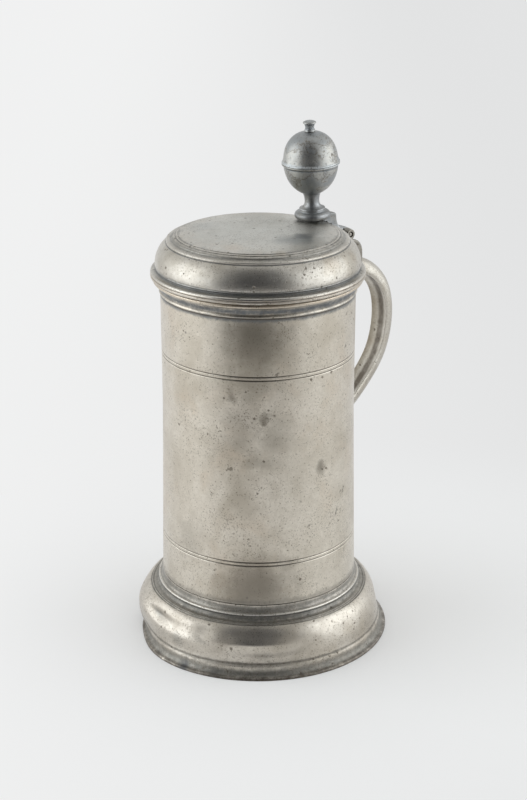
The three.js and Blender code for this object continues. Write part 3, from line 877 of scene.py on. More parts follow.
class Finish(Enum):
    """The pewter finishes of the pieces."""

    WALL = Pewter(
        "wall_pewter", bright=(0.72, 0.67, 0.585), dull=(0.50, 0.45, 0.37), tan=(0.58, 0.475, 0.36),
        hollow=(0.13, 0.115, 0.095), dirt=1.1, tan_amount=0.45, speckle=1.15, pit_density=0.16,
        patches=(
            # Painted dark reflection of the dark room behind the camera, on the front of the wall: this
            # mark and the next two.
            Patch(-133, 164, 46, 17, 0.87, (0.20, 0.178, 0.14), (0.75, 0.75, 0.88), ragged=0.5),
            Patch(-132, 169, 46, 9, 0.5, (0.155, 0.137, 0.105), (0.75, 0.75, 0.9), ragged=0.5),
            Patch(-134, 145, 46, 14, 0.6, (0.24, 0.21, 0.16), (0.85, 0.85, 0.7), ragged=0.8),
            # Painted dark reflection of the foot's dark top, low on the front of the wall.
            Patch(-132, 41, 47, 20, 0.9, (0.20, 0.175, 0.14), (0.7, 0.7, 0.9), ragged=0.6),
            Patch(-141, 122, 46, 13, 0.4, (0.25, 0.22, 0.18), (1.0, 1.0, 0.7), ragged=0.8),
            Patch(-121, 118, 46, 12, 0.3, (0.27, 0.25, 0.21), (1.0, 1.0, 0.8), ragged=0.8),
            Patch(-175, 60, 47, 14, 0.3, (0.27, 0.25, 0.21), (1.0, 1.0, 0.8)),
            Patch(-30, 120, 46, 16, 0.5, (0.25, 0.22, 0.175), (1.0, 1.0, 0.7)),
            Patch(70, 150, 46, 14, 0.5, (0.25, 0.22, 0.175), (1.0, 1.0, 0.8)),
            Patch(110, 70, 47, 13, 0.45, (0.27, 0.235, 0.19), (1.0, 1.0, 0.9)),
            # Painted dark reflection: a tall dark streak down the front of the wall that faces the
            # camera.
            Patch(-130, 104, 46, 8.0, 0.4, (0.23, 0.205, 0.16), (0.6, 0.6, 1.5)),
            Patch(-127, 123.5, 46, 3.2, 0.65, (0.13, 0.11, 0.08), (1.15, 1.15, 0.55), ragged=2.6),
            Patch(-91, 98.5, 46, 3.2, 0.7, (0.16, 0.14, 0.11), (1.0, 1.0, 0.6), ragged=1.8),
            Patch(-146, 135, 46, 3.0, 0.4),
            Patch(-105, 83, 46, 1.1, 0.7),
            Patch(-99.5, 70, 46.7, 0.9, 0.8),
            Patch(-136.6, 35.5, 47.3, 0.8, 0.9),
            Patch(-176, 163, 46, 0.9, 0.7),
            Patch(-145, 136, 46, 5.5, 0.5, (0.19, 0.165, 0.13), (1.8, 1.8, 0.6), tilt=35),
            Patch(-98, 153.5, 46, 0.13, 0.8, stretch=(0.02, 0.1, 1.0), ragged=0.6, tilt=20),
            Patch(-78, 72, 46.8, 0.6, 0.9, stretch=(1.0, 0.6, 0.16), ragged=0.6, tilt=-20),
            Patch(-112, 141, 46, 0.13, 0.5, stretch=(0.04, 0.1, 1.0), ragged=0.6, tilt=-35),
        ),
        bands=(
            # Painted shade under the rim's fillet, with some grime.
            Band(173.2, 2.0, 0.9, (0.17, 0.18, 0.185)),
            Band(177.0, 2.7, 0.95, (0.112, 0.125, 0.138)),
            Band(180.4, 1.0, 0.6, (0.48, 0.38, 0.27)),
            # Painted shade and dark reflection of the foot on the wall just above it, with some
            # tarnish.
            Band(32.6, 3.0, 0.5, (0.22, 0.205, 0.18)),
        ),
        pitted=(Patch(-126, 125, 46, 7, 3.0), Patch(-90, 97, 46, 5, 2.0), Patch(-140, 95, 46, 16, 0.8)),
    )
    FOOT = Pewter(
        "foot_pewter", bright=(0.65, 0.605, 0.535), dull=(0.45, 0.405, 0.34), hollow=(0.12, 0.12, 0.11),
        dirt=1.0, rough=0.34, pit_density=0.45, shift=(0.31, 0.12, 0.05), cloud_scale=36.0, speckle=1.3,
        patches=(
            # Painted dark reflection on the front of the bowl that faces the camera.
            Patch(-128, 10.5, 59, 7.0, 0.35, (0.2, 0.18, 0.15), (1.0, 1.0, 2.4)),
            # Painted shade that dims the highlight on the bowl's left.
            Patch(-171, 13, 60, 6.0, 0.5, (0.34, 0.33, 0.30)),
            # Painted shade in the trough of the dent on the bowl's left.
            Patch(171, 18.2, 58, 5.0, 0.8, (0.17, 0.17, 0.16), (0.8, 0.8, 2.0), ragged=0.8),
            Patch(-82, 15, 59, 7.0, 0.3, (0.36, 0.31, 0.24)),
        ),
        bands=(
            Band(2.6, 4.0, 0.9, (0.20, 0.192, 0.17)),
            Band(0.3, 1.8, 1.0, (0.10, 0.082, 0.065)),
            Band(6.9, 1.1, 0.9, (0.17, 0.155, 0.13)),
            Band(24.4, 1.2, 0.5, (0.17, 0.17, 0.155)),
            Band(23.96, 0.16, 0.9, (0.10, 0.095, 0.085)),
            Band(24.37, 0.09, 0.9, (0.10, 0.095, 0.085)),
            Band(25.7, 1.6, 0.8, (0.13, 0.13, 0.12)),
            Band(30.0, 2.4, 0.75, (0.14, 0.14, 0.13)),
            # Painted highlight along the bead.
            Band(27.6, 0.9, 0.6, (0.74, 0.73, 0.69)),
        ),
        over=(
            Patch(-165, 3.0, 63, 4.5, 0.9, (0.06, 0.065, 0.07), (1.0, 1.0, 0.7), ragged=0.8),
            Patch(-150, 2.0, 63, 3.5, 0.5, (0.08, 0.08, 0.078), (0.6, 0.6, 1.0)),
        ),
        pitted=(Patch(-82, 17, 58, 13, 6.0), Patch(-98, 3, 62, 8, 4.0), Patch(-150, 14, 58, 8, 1.5)),
    )
    # The hollow colour serves both as grime in the hollows and as the painted shade streak along the
    # handle's inner face.
    HANDLE = Pewter(
        "handle_pewter", bright=(0.60, 0.57, 0.51), dull=(0.37, 0.33, 0.27), tan=(0.42, 0.35, 0.26),
        tan_amount=0.5, hollow=(0.155, 0.13, 0.10), cloud_scale=48.0, turning=0.35,
        shift=(0.7, 0.4, 0.2),
    )
    HINGE = Pewter(
        "hinge_pewter", bright=(0.37, 0.35, 0.31), dull=(0.19, 0.175, 0.15), turning=0.0,
        cloud_scale=70.0, shift=(0.75, 0.45, 0.2), wobble=0.05,
    )
    LID = Pewter(
        "lid_pewter", bright=(0.64, 0.61, 0.555), dull=(0.42, 0.385, 0.325), hollow=(0.18, 0.18, 0.172),
        dirt=0.95, tan_amount=0.35, pit_density=0.6, shift=(0.15, 0.22, 0.4), cloud_scale=34.0,
        speckle=1.2,
        patches=(
            Patch(-84, 196, 46, 8.0, 0.5, (0.37, 0.305, 0.225), (1.0, 1.0, 1.2)),
            Patch(-60, 194, 47, 6.0, 0.4, (0.37, 0.305, 0.225), (1.0, 1.0, 1.2)),
        ),
        bands=(
            Band(181.4, 0.9, 0.85, (0.24, 0.19, 0.13)),
            Band(183.0, 1.3, 0.55, (0.50, 0.41, 0.31)),
            Band(185.9, 2.2, 0.6, (0.26, 0.275, 0.285)),
            Band(199.9, 1.0, 0.8, (0.20, 0.195, 0.175)),
            Band(200.72, 0.22, 1.0, (0.10, 0.095, 0.085)),
            Band(201.21, 0.22, 1.0, (0.10, 0.095, 0.085)),
            Band(202.5, 1.7, 0.6, (0.56, 0.575, 0.55)),
        ),
        over=(
            Patch(-152, 202, 30, 8.0, 0.35, (0.56, 0.46, 0.36)),
            # Painted reflection of the thumbpiece on the disc: this mark and the next.
            Patch(-82, 202, 22.5, 12.0, 0.75, (0.25, 0.265, 0.26), ragged=0.8),
            Patch(-64, 202, 22.5, 8.0, 0.85, (0.14, 0.15, 0.15)),
            # Painted highlight on the disc, standing for the ball's bright reflection.
            Patch(-56, 202, 30, 4.5, 0.5, (0.76, 0.76, 0.72)),
            Patch(-115, 202, 36, 4.0, 0.4, (0.40, 0.34, 0.255)),
            Patch(120, 202, 28, 12.0, 0.3, (0.36, 0.375, 0.37)),
            Patch(-136, 181.2, 50.5, 12.0, 0.8, (0.10, 0.085, 0.065), (0.8, 0.8, 12.0)),
        ),
        pitted=(
            Patch(-90, 196, 45, 13, 9.0),
            Patch(-106, 197, 45, 9, 6.0),
            Patch(-90, 186, 49, 12, 5.0),
            Patch(-160, 190, 48, 8, 1.0),
        ),
    )
    STEM = Pewter(
        "stem_pewter", bright=(0.38, 0.39, 0.395), dull=(0.19, 0.195, 0.195), rough=0.42, turning=0.3,
        shift=(0.5, 0.1, 0.6), cloud_scale=60.0, wobble=0.05,
    )
    BALL = Pewter(
        "ball_pewter", bright=(0.475, 0.465, 0.43), dull=(0.325, 0.34, 0.345), tide=0.75,
        hollow=(0.24, 0.27, 0.30), rough=0.41, cloud_scale=60.0, cloud_low=0.44, cloud_high=0.58,
        speckle=1.3, pit_density=0.3, wobble=0.08, shift=(0.21, 0.8, 0.1),
        bands=(Band(229.9, 1.4, 0.8, (0.62, 0.655, 0.67)), Band(228.2, 0.6, 0.6, (0.14, 0.15, 0.155))),
    )
    INSIDE = Pewter(
        "inside_pewter", dull=(0.36, 0.34, 0.29), rough=0.45, shift=(0.9, 0.2, 0.3),
    )
    PIN = Pewter(
        "pin_metal", bright=(0.35, 0.33, 0.30), dull=(0.22, 0.2, 0.17), turning=0.0, wobble=0.01,
    )

    def material(self) -> bpy.types.Material:
        """The finish's material, built once."""
        return bpy.data.materials.get(self.value.name) or self.value.material()

def add_hollowness(thing: Thing, rounds: int = 6) -> None:
    """Stores how hollow a fine even mesh is at each vertex.

    For each edge, the height of the far end over the near end's surface is divided by the edge's
    length squared. The mean of these is blurred over the neighbours for some rounds.

    Args:
        thing: a mesh of small faces of one size.
        rounds: how many times the values are blurred.
    """
    mesh = thing.data
    count = len(mesh.vertices)
    points, normals = np.empty(count * 3), np.empty(count * 3)
    mesh.vertices.foreach_get("co", points)
    mesh.vertices.foreach_get("normal", normals)
    points, normals = points.reshape(-1, 3) / MM, normals.reshape(-1, 3)
    edges = np.empty(len(mesh.edges) * 2, dtype=np.int64)
    mesh.edges.foreach_get("vertices", edges)
    edges = edges.reshape(-1, 2)
    near, far = np.concatenate([edges[:, 0], edges[:, 1]]), np.concatenate([edges[:, 1], edges[:, 0]])
    step = points[far] - points[near]
    bend = 2 * (step * normals[near]).sum(axis=1) / np.maximum((step**2).sum(axis=1), TINY)
    spokes = np.maximum(np.bincount(near, minlength=count), 1)
    hollow = np.bincount(near, weights=bend, minlength=count) / spokes
    for _ in range(rounds):
        hollow = (hollow + np.bincount(near, weights=hollow[far], minlength=count) / spokes) / 2
    add_values(thing, "hollow", hollow)


def worked(name: str, sources: Sequence[Thing], grain: float, rounds: int) -> Thing:
    """Joins closed solids into one skin of small even faces and rounds its edges as in a casting.

    Args:
        name: the new object's name.
        sources: objects whose meshes are joined; those of the frame are only copied.
        grain: size of the faces in mm.
        rounds: how many times the skin is smoothed.

    Returns:
        The new object, with its hollowness as a vertex value.
    """
    build = bmesh.new()
    for source in sources:
        build.from_mesh(source.data)
    bmesh.ops.remove_doubles(build, verts=build.verts, dist=WELD)
    mesh = bpy.data.meshes.new(name)
    build.to_mesh(mesh)
    build.free()
    thing = add_object(name, mesh)
    remesh = thing.modifiers.new("Skin", "REMESH")
    remesh.mode = "VOXEL"
    remesh.voxel_size = grain * MM
    smooth = thing.modifiers.new("Rounded", "SMOOTH")
    smooth.factor = 0.5
    smooth.iterations = rounds
    graph = bpy.context.evaluated_depsgraph_get()
    skin = bpy.data.meshes.new_from_object(thing.evaluated_get(graph))
    thing.modifiers.clear()
    thing.data = skin
    thing.data.name = name
    skin.polygons.foreach_set("use_smooth", np.full(len(skin.polygons), True))
    add_hollowness(thing)
    return thing


def dress(thing: Thing, finish: Finish, body: str, node: str) -> None:
    """Gives a piece its finish and its place in the frame.

    Args:
        thing: the piece.
        finish: its pewter.
        body: the body that it rides.
        node: the solid's node that it stands for.
    """
    thing.data.materials.clear()
    thing.data.materials.append(finish.material())
    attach(thing, body)
    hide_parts(node)
    LOG.info("%s: %d faces, %s", thing.name, len(thing.data.polygons), finish.value.name)


@dataclass
class Cup:
    """The cup: its wall with the rim moulding and incised lines, and the floor soldered into it."""

    thickness: float = 2.0
    flare: float = 1.6
    flare_top: float = 117.0
    bottom: float = 20.0
    rebate: float = 0.9
    lower_lines: tuple[float, ...] = (51.95, 53.7)
    upper_lines: tuple[float, ...] = (144.25, 146.0)
    line_width: float = 0.7
    line_depth: float = 0.35
    bead_proud: float = 3.6
    bead_height: float = 1.9
    cove_height: float = 3.9
    fillet_height: float = 1.5
    fillet_proud: float = 0.75
    floor_height: float = 24.0
    floor_thickness: float = 2.2
    floor_dish: float = 0.8
    floor_radius: float = 45.3

    def radius_at(self, height: float) -> float:
        """Radius of the plain wall: even above, then widening evenly towards the foot."""
        share = max(0.0, (self.flare_top - height) / (self.flare_top - FOOT_HEIGHT))
        return CUP_RADIUS + self.flare * share

    def line(self, height: float) -> np.ndarray:
        """An incised line of the wall at a height."""
        return groove((self.radius_at(height), height), (0, 1), self.line_width, self.line_depth)

    def rim(self) -> np.ndarray:
        """Rim moulding going up: a half-round fillet, a cove and a half-round bead.

        Returns:
            Rows of radius and height.
        """
        bead = (CUP_RADIUS + self.bead_proud - self.bead_height / 2, CUP_HEIGHT - self.bead_height / 2)
        cove_low = CUP_HEIGHT - self.bead_height - self.cove_height
        start = CUP_RADIUS + self.fillet_proud / 2
        fillet = (CUP_RADIUS, cove_low - self.fillet_height / 2)
        return chain(
            arc(fillet, self.fillet_proud, self.fillet_height / 2, -85, 55, 8),
            arc((bead[0], cove_low), bead[0] - start, self.cove_height, 178, 100, 12),
            arc(bead, self.bead_height / 2, self.bead_height / 2, -80, 85, 10),
        )

    def wall(self) -> Thing:
        """Builds the wall, its outline going up outside and down inside.

        Returns:
            The wall.
        """
        foot_radius = self.radius_at(FOOT_HEIGHT)
        inside = CUP_RADIUS - self.thickness
        outline = chain(
            (foot_radius - self.rebate, self.bottom),
            (foot_radius - self.rebate, FOOT_HEIGHT),
            (foot_radius, FOOT_HEIGHT),
            *[self.line(height) for height in self.lower_lines],
            (CUP_RADIUS, self.flare_top),
            *[self.line(height) for height in self.upper_lines],
            self.rim(),
            (inside, CUP_HEIGHT),
            (inside, self.flare_top),
            (foot_radius - self.thickness, FOOT_HEIGHT),
            (foot_radius - self.thickness, self.bottom),
        )
        return Turned("wall", outline, steps=256, closed=True, place=UPRIGHT, soft=0.15).build()

    def floor(self) -> Thing:
        """Builds the floor, dished towards its middle.

        Returns:
            The floor.
        """
        flat = self.floor_radius - self.thickness
        outline = chain(
            (0, self.floor_height - self.floor_dish - self.floor_thickness),
            (flat, self.floor_height - self.floor_thickness),
            (self.floor_radius, self.floor_height - self.floor_thickness),
            (self.floor_radius, self.floor_height),
            (flat, self.floor_height),
            (flat / 2, self.floor_height - self.floor_dish * 0.8),
            (0, self.floor_height - self.floor_dish),
        )
        return Turned("floor", outline, steps=96, closed=False, place=UPRIGHT, soft=0.3).build()

    def make(self) -> None:
        """Builds and dresses the wall and the floor."""
        dress(self.wall(), Finish.WALL, VESSEL, "cup_wall")
        dress(self.floor(), Finish.INSIDE, VESSEL, "floor_disc")


@dataclass
class Foot:
    """The hollow foot ring: lip, cove, fillet, bulging bowl, incised lines, cove and bead."""

    radius: float = 63.8
    top: float = 31.6
    seat_radius: float = 47.0
    wall_radius: float = 47.6
    lip_height: float = 1.2
    fillet_radius: float = 60.4
    fillet_height: float = 5.7
    fillet_width: float = 0.8
    bowl_centre: Point = (51.2, 7.5)
    bowl_reach: float = 8.3
    bowl_rise: float = 17.0
    bead_radius: float = 49.4
    bead_height: float = 27.8
    line_radii: tuple[float, ...] = (53.28, 52.24)
    line_width: float = 0.65
    line_depth: float = 0.38
    roll: float = 0.6
    thickness: float = 1.7
    bearing_width: float = 3.2
    dents: tuple[Dent, ...] = (
        Dent(149, 0.0, 25.0, 10.0, 4.6),
        Dent(149, 16.0, 17.0, 6.0, -1.9),
        Dent(123, 0.0, 18.0, 4.2, 6.2),
        Dent(140, 7.2, 16.0, 4.3, -2.5),
        Dent(172, 17.9, 9.5, 2.3, 2.0),
        Dent(-158, 16.0, 5.0, 1.0, 0.3, -15.0),
        Dent(-170, 21.8, 9.0, 2.0, -0.5),
        Dent(-172, 14.0, 11.0, 2.6, -0.7),
        Dent(-157, 19.0, 5.0, 3.0, 0.5),
        Dent(-132, 15.9, 17.0, 1.6, -0.45),
        Dent(-127, 12.2, 22.0, 2.0, 0.4),
        Dent(-108, 14.5, 12.0, 2.6, 0.35),
        Dent(-84, 17.0, 8.0, 4.0, 0.4),
        Dent(-40, 14.0, 9.0, 4.0, 0.45),
        Dent(55, 16.0, 8.0, 4.0, 0.4),
    )

    def bowl(self, start: float, stop: float, steps: int) -> np.ndarray:
        """Part of the bowl's outline, an elliptical arc."""
        return arc(self.bowl_centre, self.bowl_reach, self.bowl_rise, start, stop, steps)

    def line(self, radius: float) -> np.ndarray:
        """An incised line on the bowl's sloping top.

        Args:
            radius: where it runs, in mm.

        Returns:
            Rows of radius and height.
        """
        across = (radius - self.bowl_centre[0]) / self.bowl_reach
        up = math.sqrt(1 - across * across)
        height = self.bowl_centre[1] + self.bowl_rise * up
        slope = (-self.bowl_reach * up, self.bowl_rise * across)
        return groove((radius, height), slope, self.line_width, self.line_depth)

    def ring(self) -> Thing:
        """Builds the ring, its outline going up outside and down inside.

        Returns:
            The ring.
        """
        shelf = self.bowl_centre[1] + self.bowl_rise
        inner = (self.bowl_reach - self.thickness, self.bowl_rise - self.thickness)
        cove_low = (self.radius - self.lip_height / 2, self.fillet_height - self.fillet_width)
        cove_reach = cove_low[0] - self.fillet_radius - self.line_depth / 2
        bead = (self.bead_radius - self.roll / 3, self.bead_height - self.roll / 2)
        bead_foot = (self.bowl_centre[0], bead[1] - self.roll)
        bead_top = bead[1] + self.roll
        outline = chain(
            (self.radius, 0),
            (self.radius, self.lip_height / 2),
            (cove_low[0], self.lip_height),
            arc(cove_low, cove_reach, cove_low[1] - self.lip_height, -105, -178, 10),
            (self.fillet_radius, self.fillet_height),
            (self.fillet_radius - self.fillet_width / 2, self.fillet_height + self.fillet_width),
            self.bowl(4, 72, 26),
            *[self.line(radius) for radius in self.line_radii],
            arc(bead_foot, bead_foot[0] - bead[0], bead_foot[1] - shelf, 265, 182, 10),
            arc(bead, self.roll, self.roll, -75, 100, 12),
            arc((bead[0], self.top), bead[0] - self.wall_radius, self.top - bead_top, 262, 185, 10),
            (self.wall_radius, self.top),
            (self.seat_radius, self.top),
            (self.seat_radius, shelf - self.thickness),
            arc(self.bowl_centre, inner[0], inner[1], 80, 6, 12),
            (self.fillet_radius - self.thickness, self.bearing_width),
            (self.radius - self.bearing_width, 0),
        )
        return Turned("foot", outline, 288, True, UPRIGHT, soft=0.28, dents=self.dents).build()

    def make(self) -> None:
        """Builds and dresses the foot."""
        dress(self.ring(), Finish.FOOT, VESSEL, "foot_ring")


@dataclass
class Handle:
    """The strap handle: a hollow-faced section carried along a curve from wall to wall."""

    width: float = 11.8
    depth: float = 7.7
    edge: float = 1.2
    hollow: float = 0.9
    rounding: float = 0.5
    # Painted shade: a dark streak along one side of the inner face, with its strength, its place across
    # the face and its width.
    painted_shade: float = 1.25
    painted_shade_place: float = -0.2
    painted_shade_width: float = 0.4
    taper: float = 0.9
    start: float = 44.0
    reach: float = 39.08
    top: float = 175.2
    drop: float = 81.7
    end_radius: float = 44.9
    flare: float = 0.05
    flare_reach: float = 2.2
    steps: int = 220
    out_shares: tuple[float, ...] = (0, 0.36, 0.68, 0.92, 1, 0.885, 0.475, 0)
    down_shares: tuple[float, ...] = (0.045, 0, 0.052, 0.18, 0.364, 0.603, 0.835, 1)

    def middle_line(self) -> np.ndarray:
        """The middle line: a smooth curve through the shares, at even steps.

        Between two points the curve is a blend of blends of lines, with knots that are spaced by the
        square root of the distance. The end stretches mirror their neighbours.

        Returns:
            Rows of x and z in mm from the cup's axis, between the two ends inside the wall.
        """
        given = np.column_stack([
            self.start + self.reach * np.array(self.out_shares),
            self.top - self.drop * np.array(self.down_shares),
        ])
        p = np.vstack([2 * given[0] - given[1], given, 2 * given[-1] - given[-2]])
        knots = run_along(p, 0.5)
        fine = np.linspace(0, 1, 60, endpoint=False)
        i = np.repeat(np.arange(1, len(p) - 2), len(fine))
        share = np.tile(fine, len(p) - 3)
        t = (knots[i] + share * (knots[i + 1] - knots[i]))[:, None]
        k = [knots[i + n][:, None] for n in (-1, 0, 1, 2)]
        q = [p[i + n] for n in (-1, 0, 1, 2)]
        first = [((k[n + 1] - t) * q[n] + (t - k[n]) * q[n + 1]) / (k[n + 1] - k[n]) for n in range(3)]
        second = [
            ((k[n + 2] - t) * first[n] + (t - k[n]) * first[n + 1]) / (k[n + 2] - k[n]) for n in (0, 1)
        ]
        curve = ((k[2] - t) * second[0] + (t - k[1]) * second[1]) / (k[2] - k[1])
        curve = np.vstack([curve, given[-1]])
        curve = curve[curve[:, 0] >= self.end_radius]
        run = run_along(curve)
        even = np.linspace(0, run[-1], self.steps)
        return np.column_stack([np.interp(even, run, curve[:, 0]), np.interp(even, run, curve[:, 1])])

    def section(self) -> np.ndarray:
        """The section: a half ellipse behind and a shallow hollow inside.

        Returns:
            Rows of across and outwards in mm.
        """
        inner, half = -self.depth / 2, self.width / 2
        back = arc((0, self.edge + inner), half, self.depth - self.edge, 0, 180, 32)
        across = np.linspace(-1, 1, 17)
        dip = self.hollow * (1 - across**2)
        face = np.column_stack([across * (half - self.edge / 3), inner + dip])
        return softened(np.vstack([back, face]), self.rounding, True)

    def strap(self) -> Thing:
        """Builds the strap: middle plus across times the side plus outwards times the normal.

        Returns:
            The object, with its place round the section and its hollowness as vertex values. The
            hollowness is raised along one side of the inner face by a streak of painted shade.
        """
        line, section = self.middle_line(), self.section()
        along = np.gradient(line, axis=0)
        along /= np.linalg.norm(along, axis=1, keepdims=True)
        share = np.linspace(0, 1, self.steps)
        size = 1 + (self.taper - 1) * share
        ends = np.exp(-((line[:, 0] - CUP_RADIUS) / self.flare_reach) ** 2)
        size *= 1 + self.flare * ends
        across = section[None, :, 0] * size[:, None]
        outwards = section[None, :, 1] * size[:, None]
        x = line[:, :1] - along[:, 1:] * outwards + CUP_AXIS
        z = line[:, 1:] + along[:, :1] * outwards
        grid = np.stack([x, across, z], axis=2)
        count = len(section)
        quads = grid_quads(self.steps, count, False, True)[:, [0, 3, 2, 1]]
        end = np.arange(count)
        caps = [end[::-1].tolist(), (end + (self.steps - 1) * count).tolist()]
        thing = add_mesh("strap_handle", grid.reshape(-1, 3), quads.tolist() + caps)
        # Painted shade: a dark streak added to the inner face's hollowness, so that the grime colour
        # darkens it there.
        side = (section[:, 0] / self.width * 2 - self.painted_shade_place) / self.painted_shade_width
        painted_shade_streak = self.painted_shade * np.exp(-(side**2)) * (section[:, 1] < 0)
        add_values(thing, "hollow", np.tile(hollowness(section, True) + painted_shade_streak, self.steps))
        add_values(thing, "along", np.tile(run_along(section), self.steps) * MM)
        return thing

    def make(self) -> None:
        """Builds and dresses the handle."""
        dress(self.strap(), Finish.HANDLE, VESSEL, "handle")


@dataclass
class Hinge:
    """The hinge on the handle: a cast bracket with two knuckles, and the pin."""

    pin_radius: float = 1.1
    pin_length: float = 13.4
    pin_dome: float = 0.3
    grain: float = 0.2
    smoothing: int = 5

    def bracket(self) -> Thing:
        """Works the bracket over from its solid."""
        return worked("hinge_casting", [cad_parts["hinge_bracket"]], self.grain, self.smoothing)

    def pin(self) -> Thing:
        """Builds the pin, its ends domed a little.

        Returns:
            The pin.
        """
        half = self.pin_length / 2
        outline = chain(
            (0, -half),
            (self.pin_radius - self.pin_dome, -half),
            (self.pin_radius, self.pin_dome - half),
            (self.pin_radius, half - self.pin_dome),
            (self.pin_radius - self.pin_dome, half),
            (0, half),
        )
        place = Matrix.Translation((HINGE_X, 0, HINGE_Z)) @ Matrix.Rotation(-math.pi / 2, 4, "X")
        return Turned("pin", outline, steps=48, closed=False, place=place).build()

    def make(self) -> None:
        """Builds and dresses the bracket and the pin."""
        dress(self.bracket(), Finish.HINGE, VESSEL, "hinge_bracket")
        dress(self.pin(), Finish.PIN, VESSEL, "hinge_pin")


@dataclass
class Lid:
    """The moulded lid: flange, cove, curl, quarter-round shoulder, bead, cove, band and disc."""

    underside: float = 181.5
    thickness: float = 1.7
    flange_radius: float = 50.6
    flange_height: float = 3.0
    line_width: float = 0.7
    line_depth: float = 0.35
    cut_width: float = 0.6
    cut_depth: float = 0.3
    cove_height: float = 1.0
    curl: float = 0.6
    shoulder_radius: float = 48.4
    shoulder_height: float = 187.1
    shoulder_reach: float = 11.0
    shoulder_rise: float = 12.2
    step_radius: float = 43.0
    step_height: float = 198.0
    bead_radius: float = 42.4
    bead_rise: float = 0.5
    band_radius: float = 40.2
    band_height: float = 200.1
    cove_depth: float = 1.1
    line_radii: tuple[float, ...] = (38.7, 37.5)
    disc_radius: float = 36.8
    disc_height: float = 201.5
    top: float = 202.2
    bezel_radius: float = 43.1
    bezel_thickness: float = 1.6
    bezel_depth: float = 3.0

    def line(self, radius: float) -> np.ndarray:
        """An incised line of the band.

        Args:
            radius: where it runs, in mm.

        Returns:
            Rows of radius and height.
        """
        rise = self.disc_height - self.band_height
        width = self.band_radius - self.disc_radius
        height = self.band_height + rise * (self.band_radius - radius) / width
        return groove((radius, height), (-width, rise), self.cut_width, self.cut_depth)

    def outside(self) -> np.ndarray:
        """The lid's outside, going up from the flange and in to the axis.

        Returns:
            Rows of radius and height.
        """
        flange_top = self.underside + self.flange_height
        middle = self.underside + self.flange_height / 2
        neck = self.shoulder_radius - self.curl
        cove = (self.flange_radius - self.line_width, flange_top + self.cove_height)
        curl = (self.shoulder_radius - 2 * self.curl, self.shoulder_height)
        shoulder = (self.shoulder_radius - self.shoulder_reach, self.shoulder_height)
        band_cove = (self.bead_radius - self.bead_rise, self.band_height)
        return chain(
            (self.flange_radius - self.line_depth, self.underside),
            (self.flange_radius, self.underside + self.line_depth),
            groove((self.flange_radius, middle), (0, 1), self.line_width, self.line_depth),
            (self.flange_radius - self.line_depth / 2, flange_top - self.line_depth),
            arc(cove, cove[0] - neck, self.cove_height, -92, -215, 20),
            arc(curl, 2 * self.curl, 1.5 * self.curl, -45, -5, 8),
            arc(shoulder, self.shoulder_reach, self.shoulder_rise, 2, 60, 24),
            (self.step_radius, self.step_height),
            (self.step_radius, self.step_height + self.bead_rise),
            (self.bead_radius, self.step_height + 2 * self.bead_rise),
            arc(band_cove, band_cove[0] - self.band_radius, self.cove_depth, -92, -178, 10),
            *[self.line(radius) for radius in self.line_radii],
            (self.disc_radius * 0.75, self.top - (self.top - self.disc_height) * 0.5),
            (self.disc_radius / 2, self.top - (self.top - self.disc_height) * 0.25),
            (0, self.top),
        )

    def shell(self) -> Thing:
        """Builds the lid, its outline going down from the axis inside and back up outside.

        Returns:
            The lid.
        """
        shoulder = (self.shoulder_radius - self.shoulder_reach, self.shoulder_height)
        inner_rise = self.shoulder_rise - self.thickness
        inner = self.bezel_radius - self.bezel_thickness
        outline = chain(
            (0, self.top - self.thickness),
            (self.disc_radius, self.disc_height - self.thickness),
            (self.step_radius - self.thickness, self.step_height - self.thickness),
            arc(shoulder, self.shoulder_reach - self.thickness, inner_rise, 45, 0, 10),
            (self.shoulder_radius - self.curl - self.thickness, self.shoulder_height - self.curl),
            (inner, self.underside + self.thickness),
            (inner, self.underside - self.bezel_depth),
            (self.bezel_radius, self.underside - self.bezel_depth),
            (self.bezel_radius, self.underside),
            self.outside(),
        )
        return Turned("lid_shell", outline, steps=300, closed=False, place=UPRIGHT, soft=0.15).build()

    def make(self) -> None:
        """Builds and dresses the lid."""
        dress(self.shell(), Finish.LID, LID_BODY, "lid")


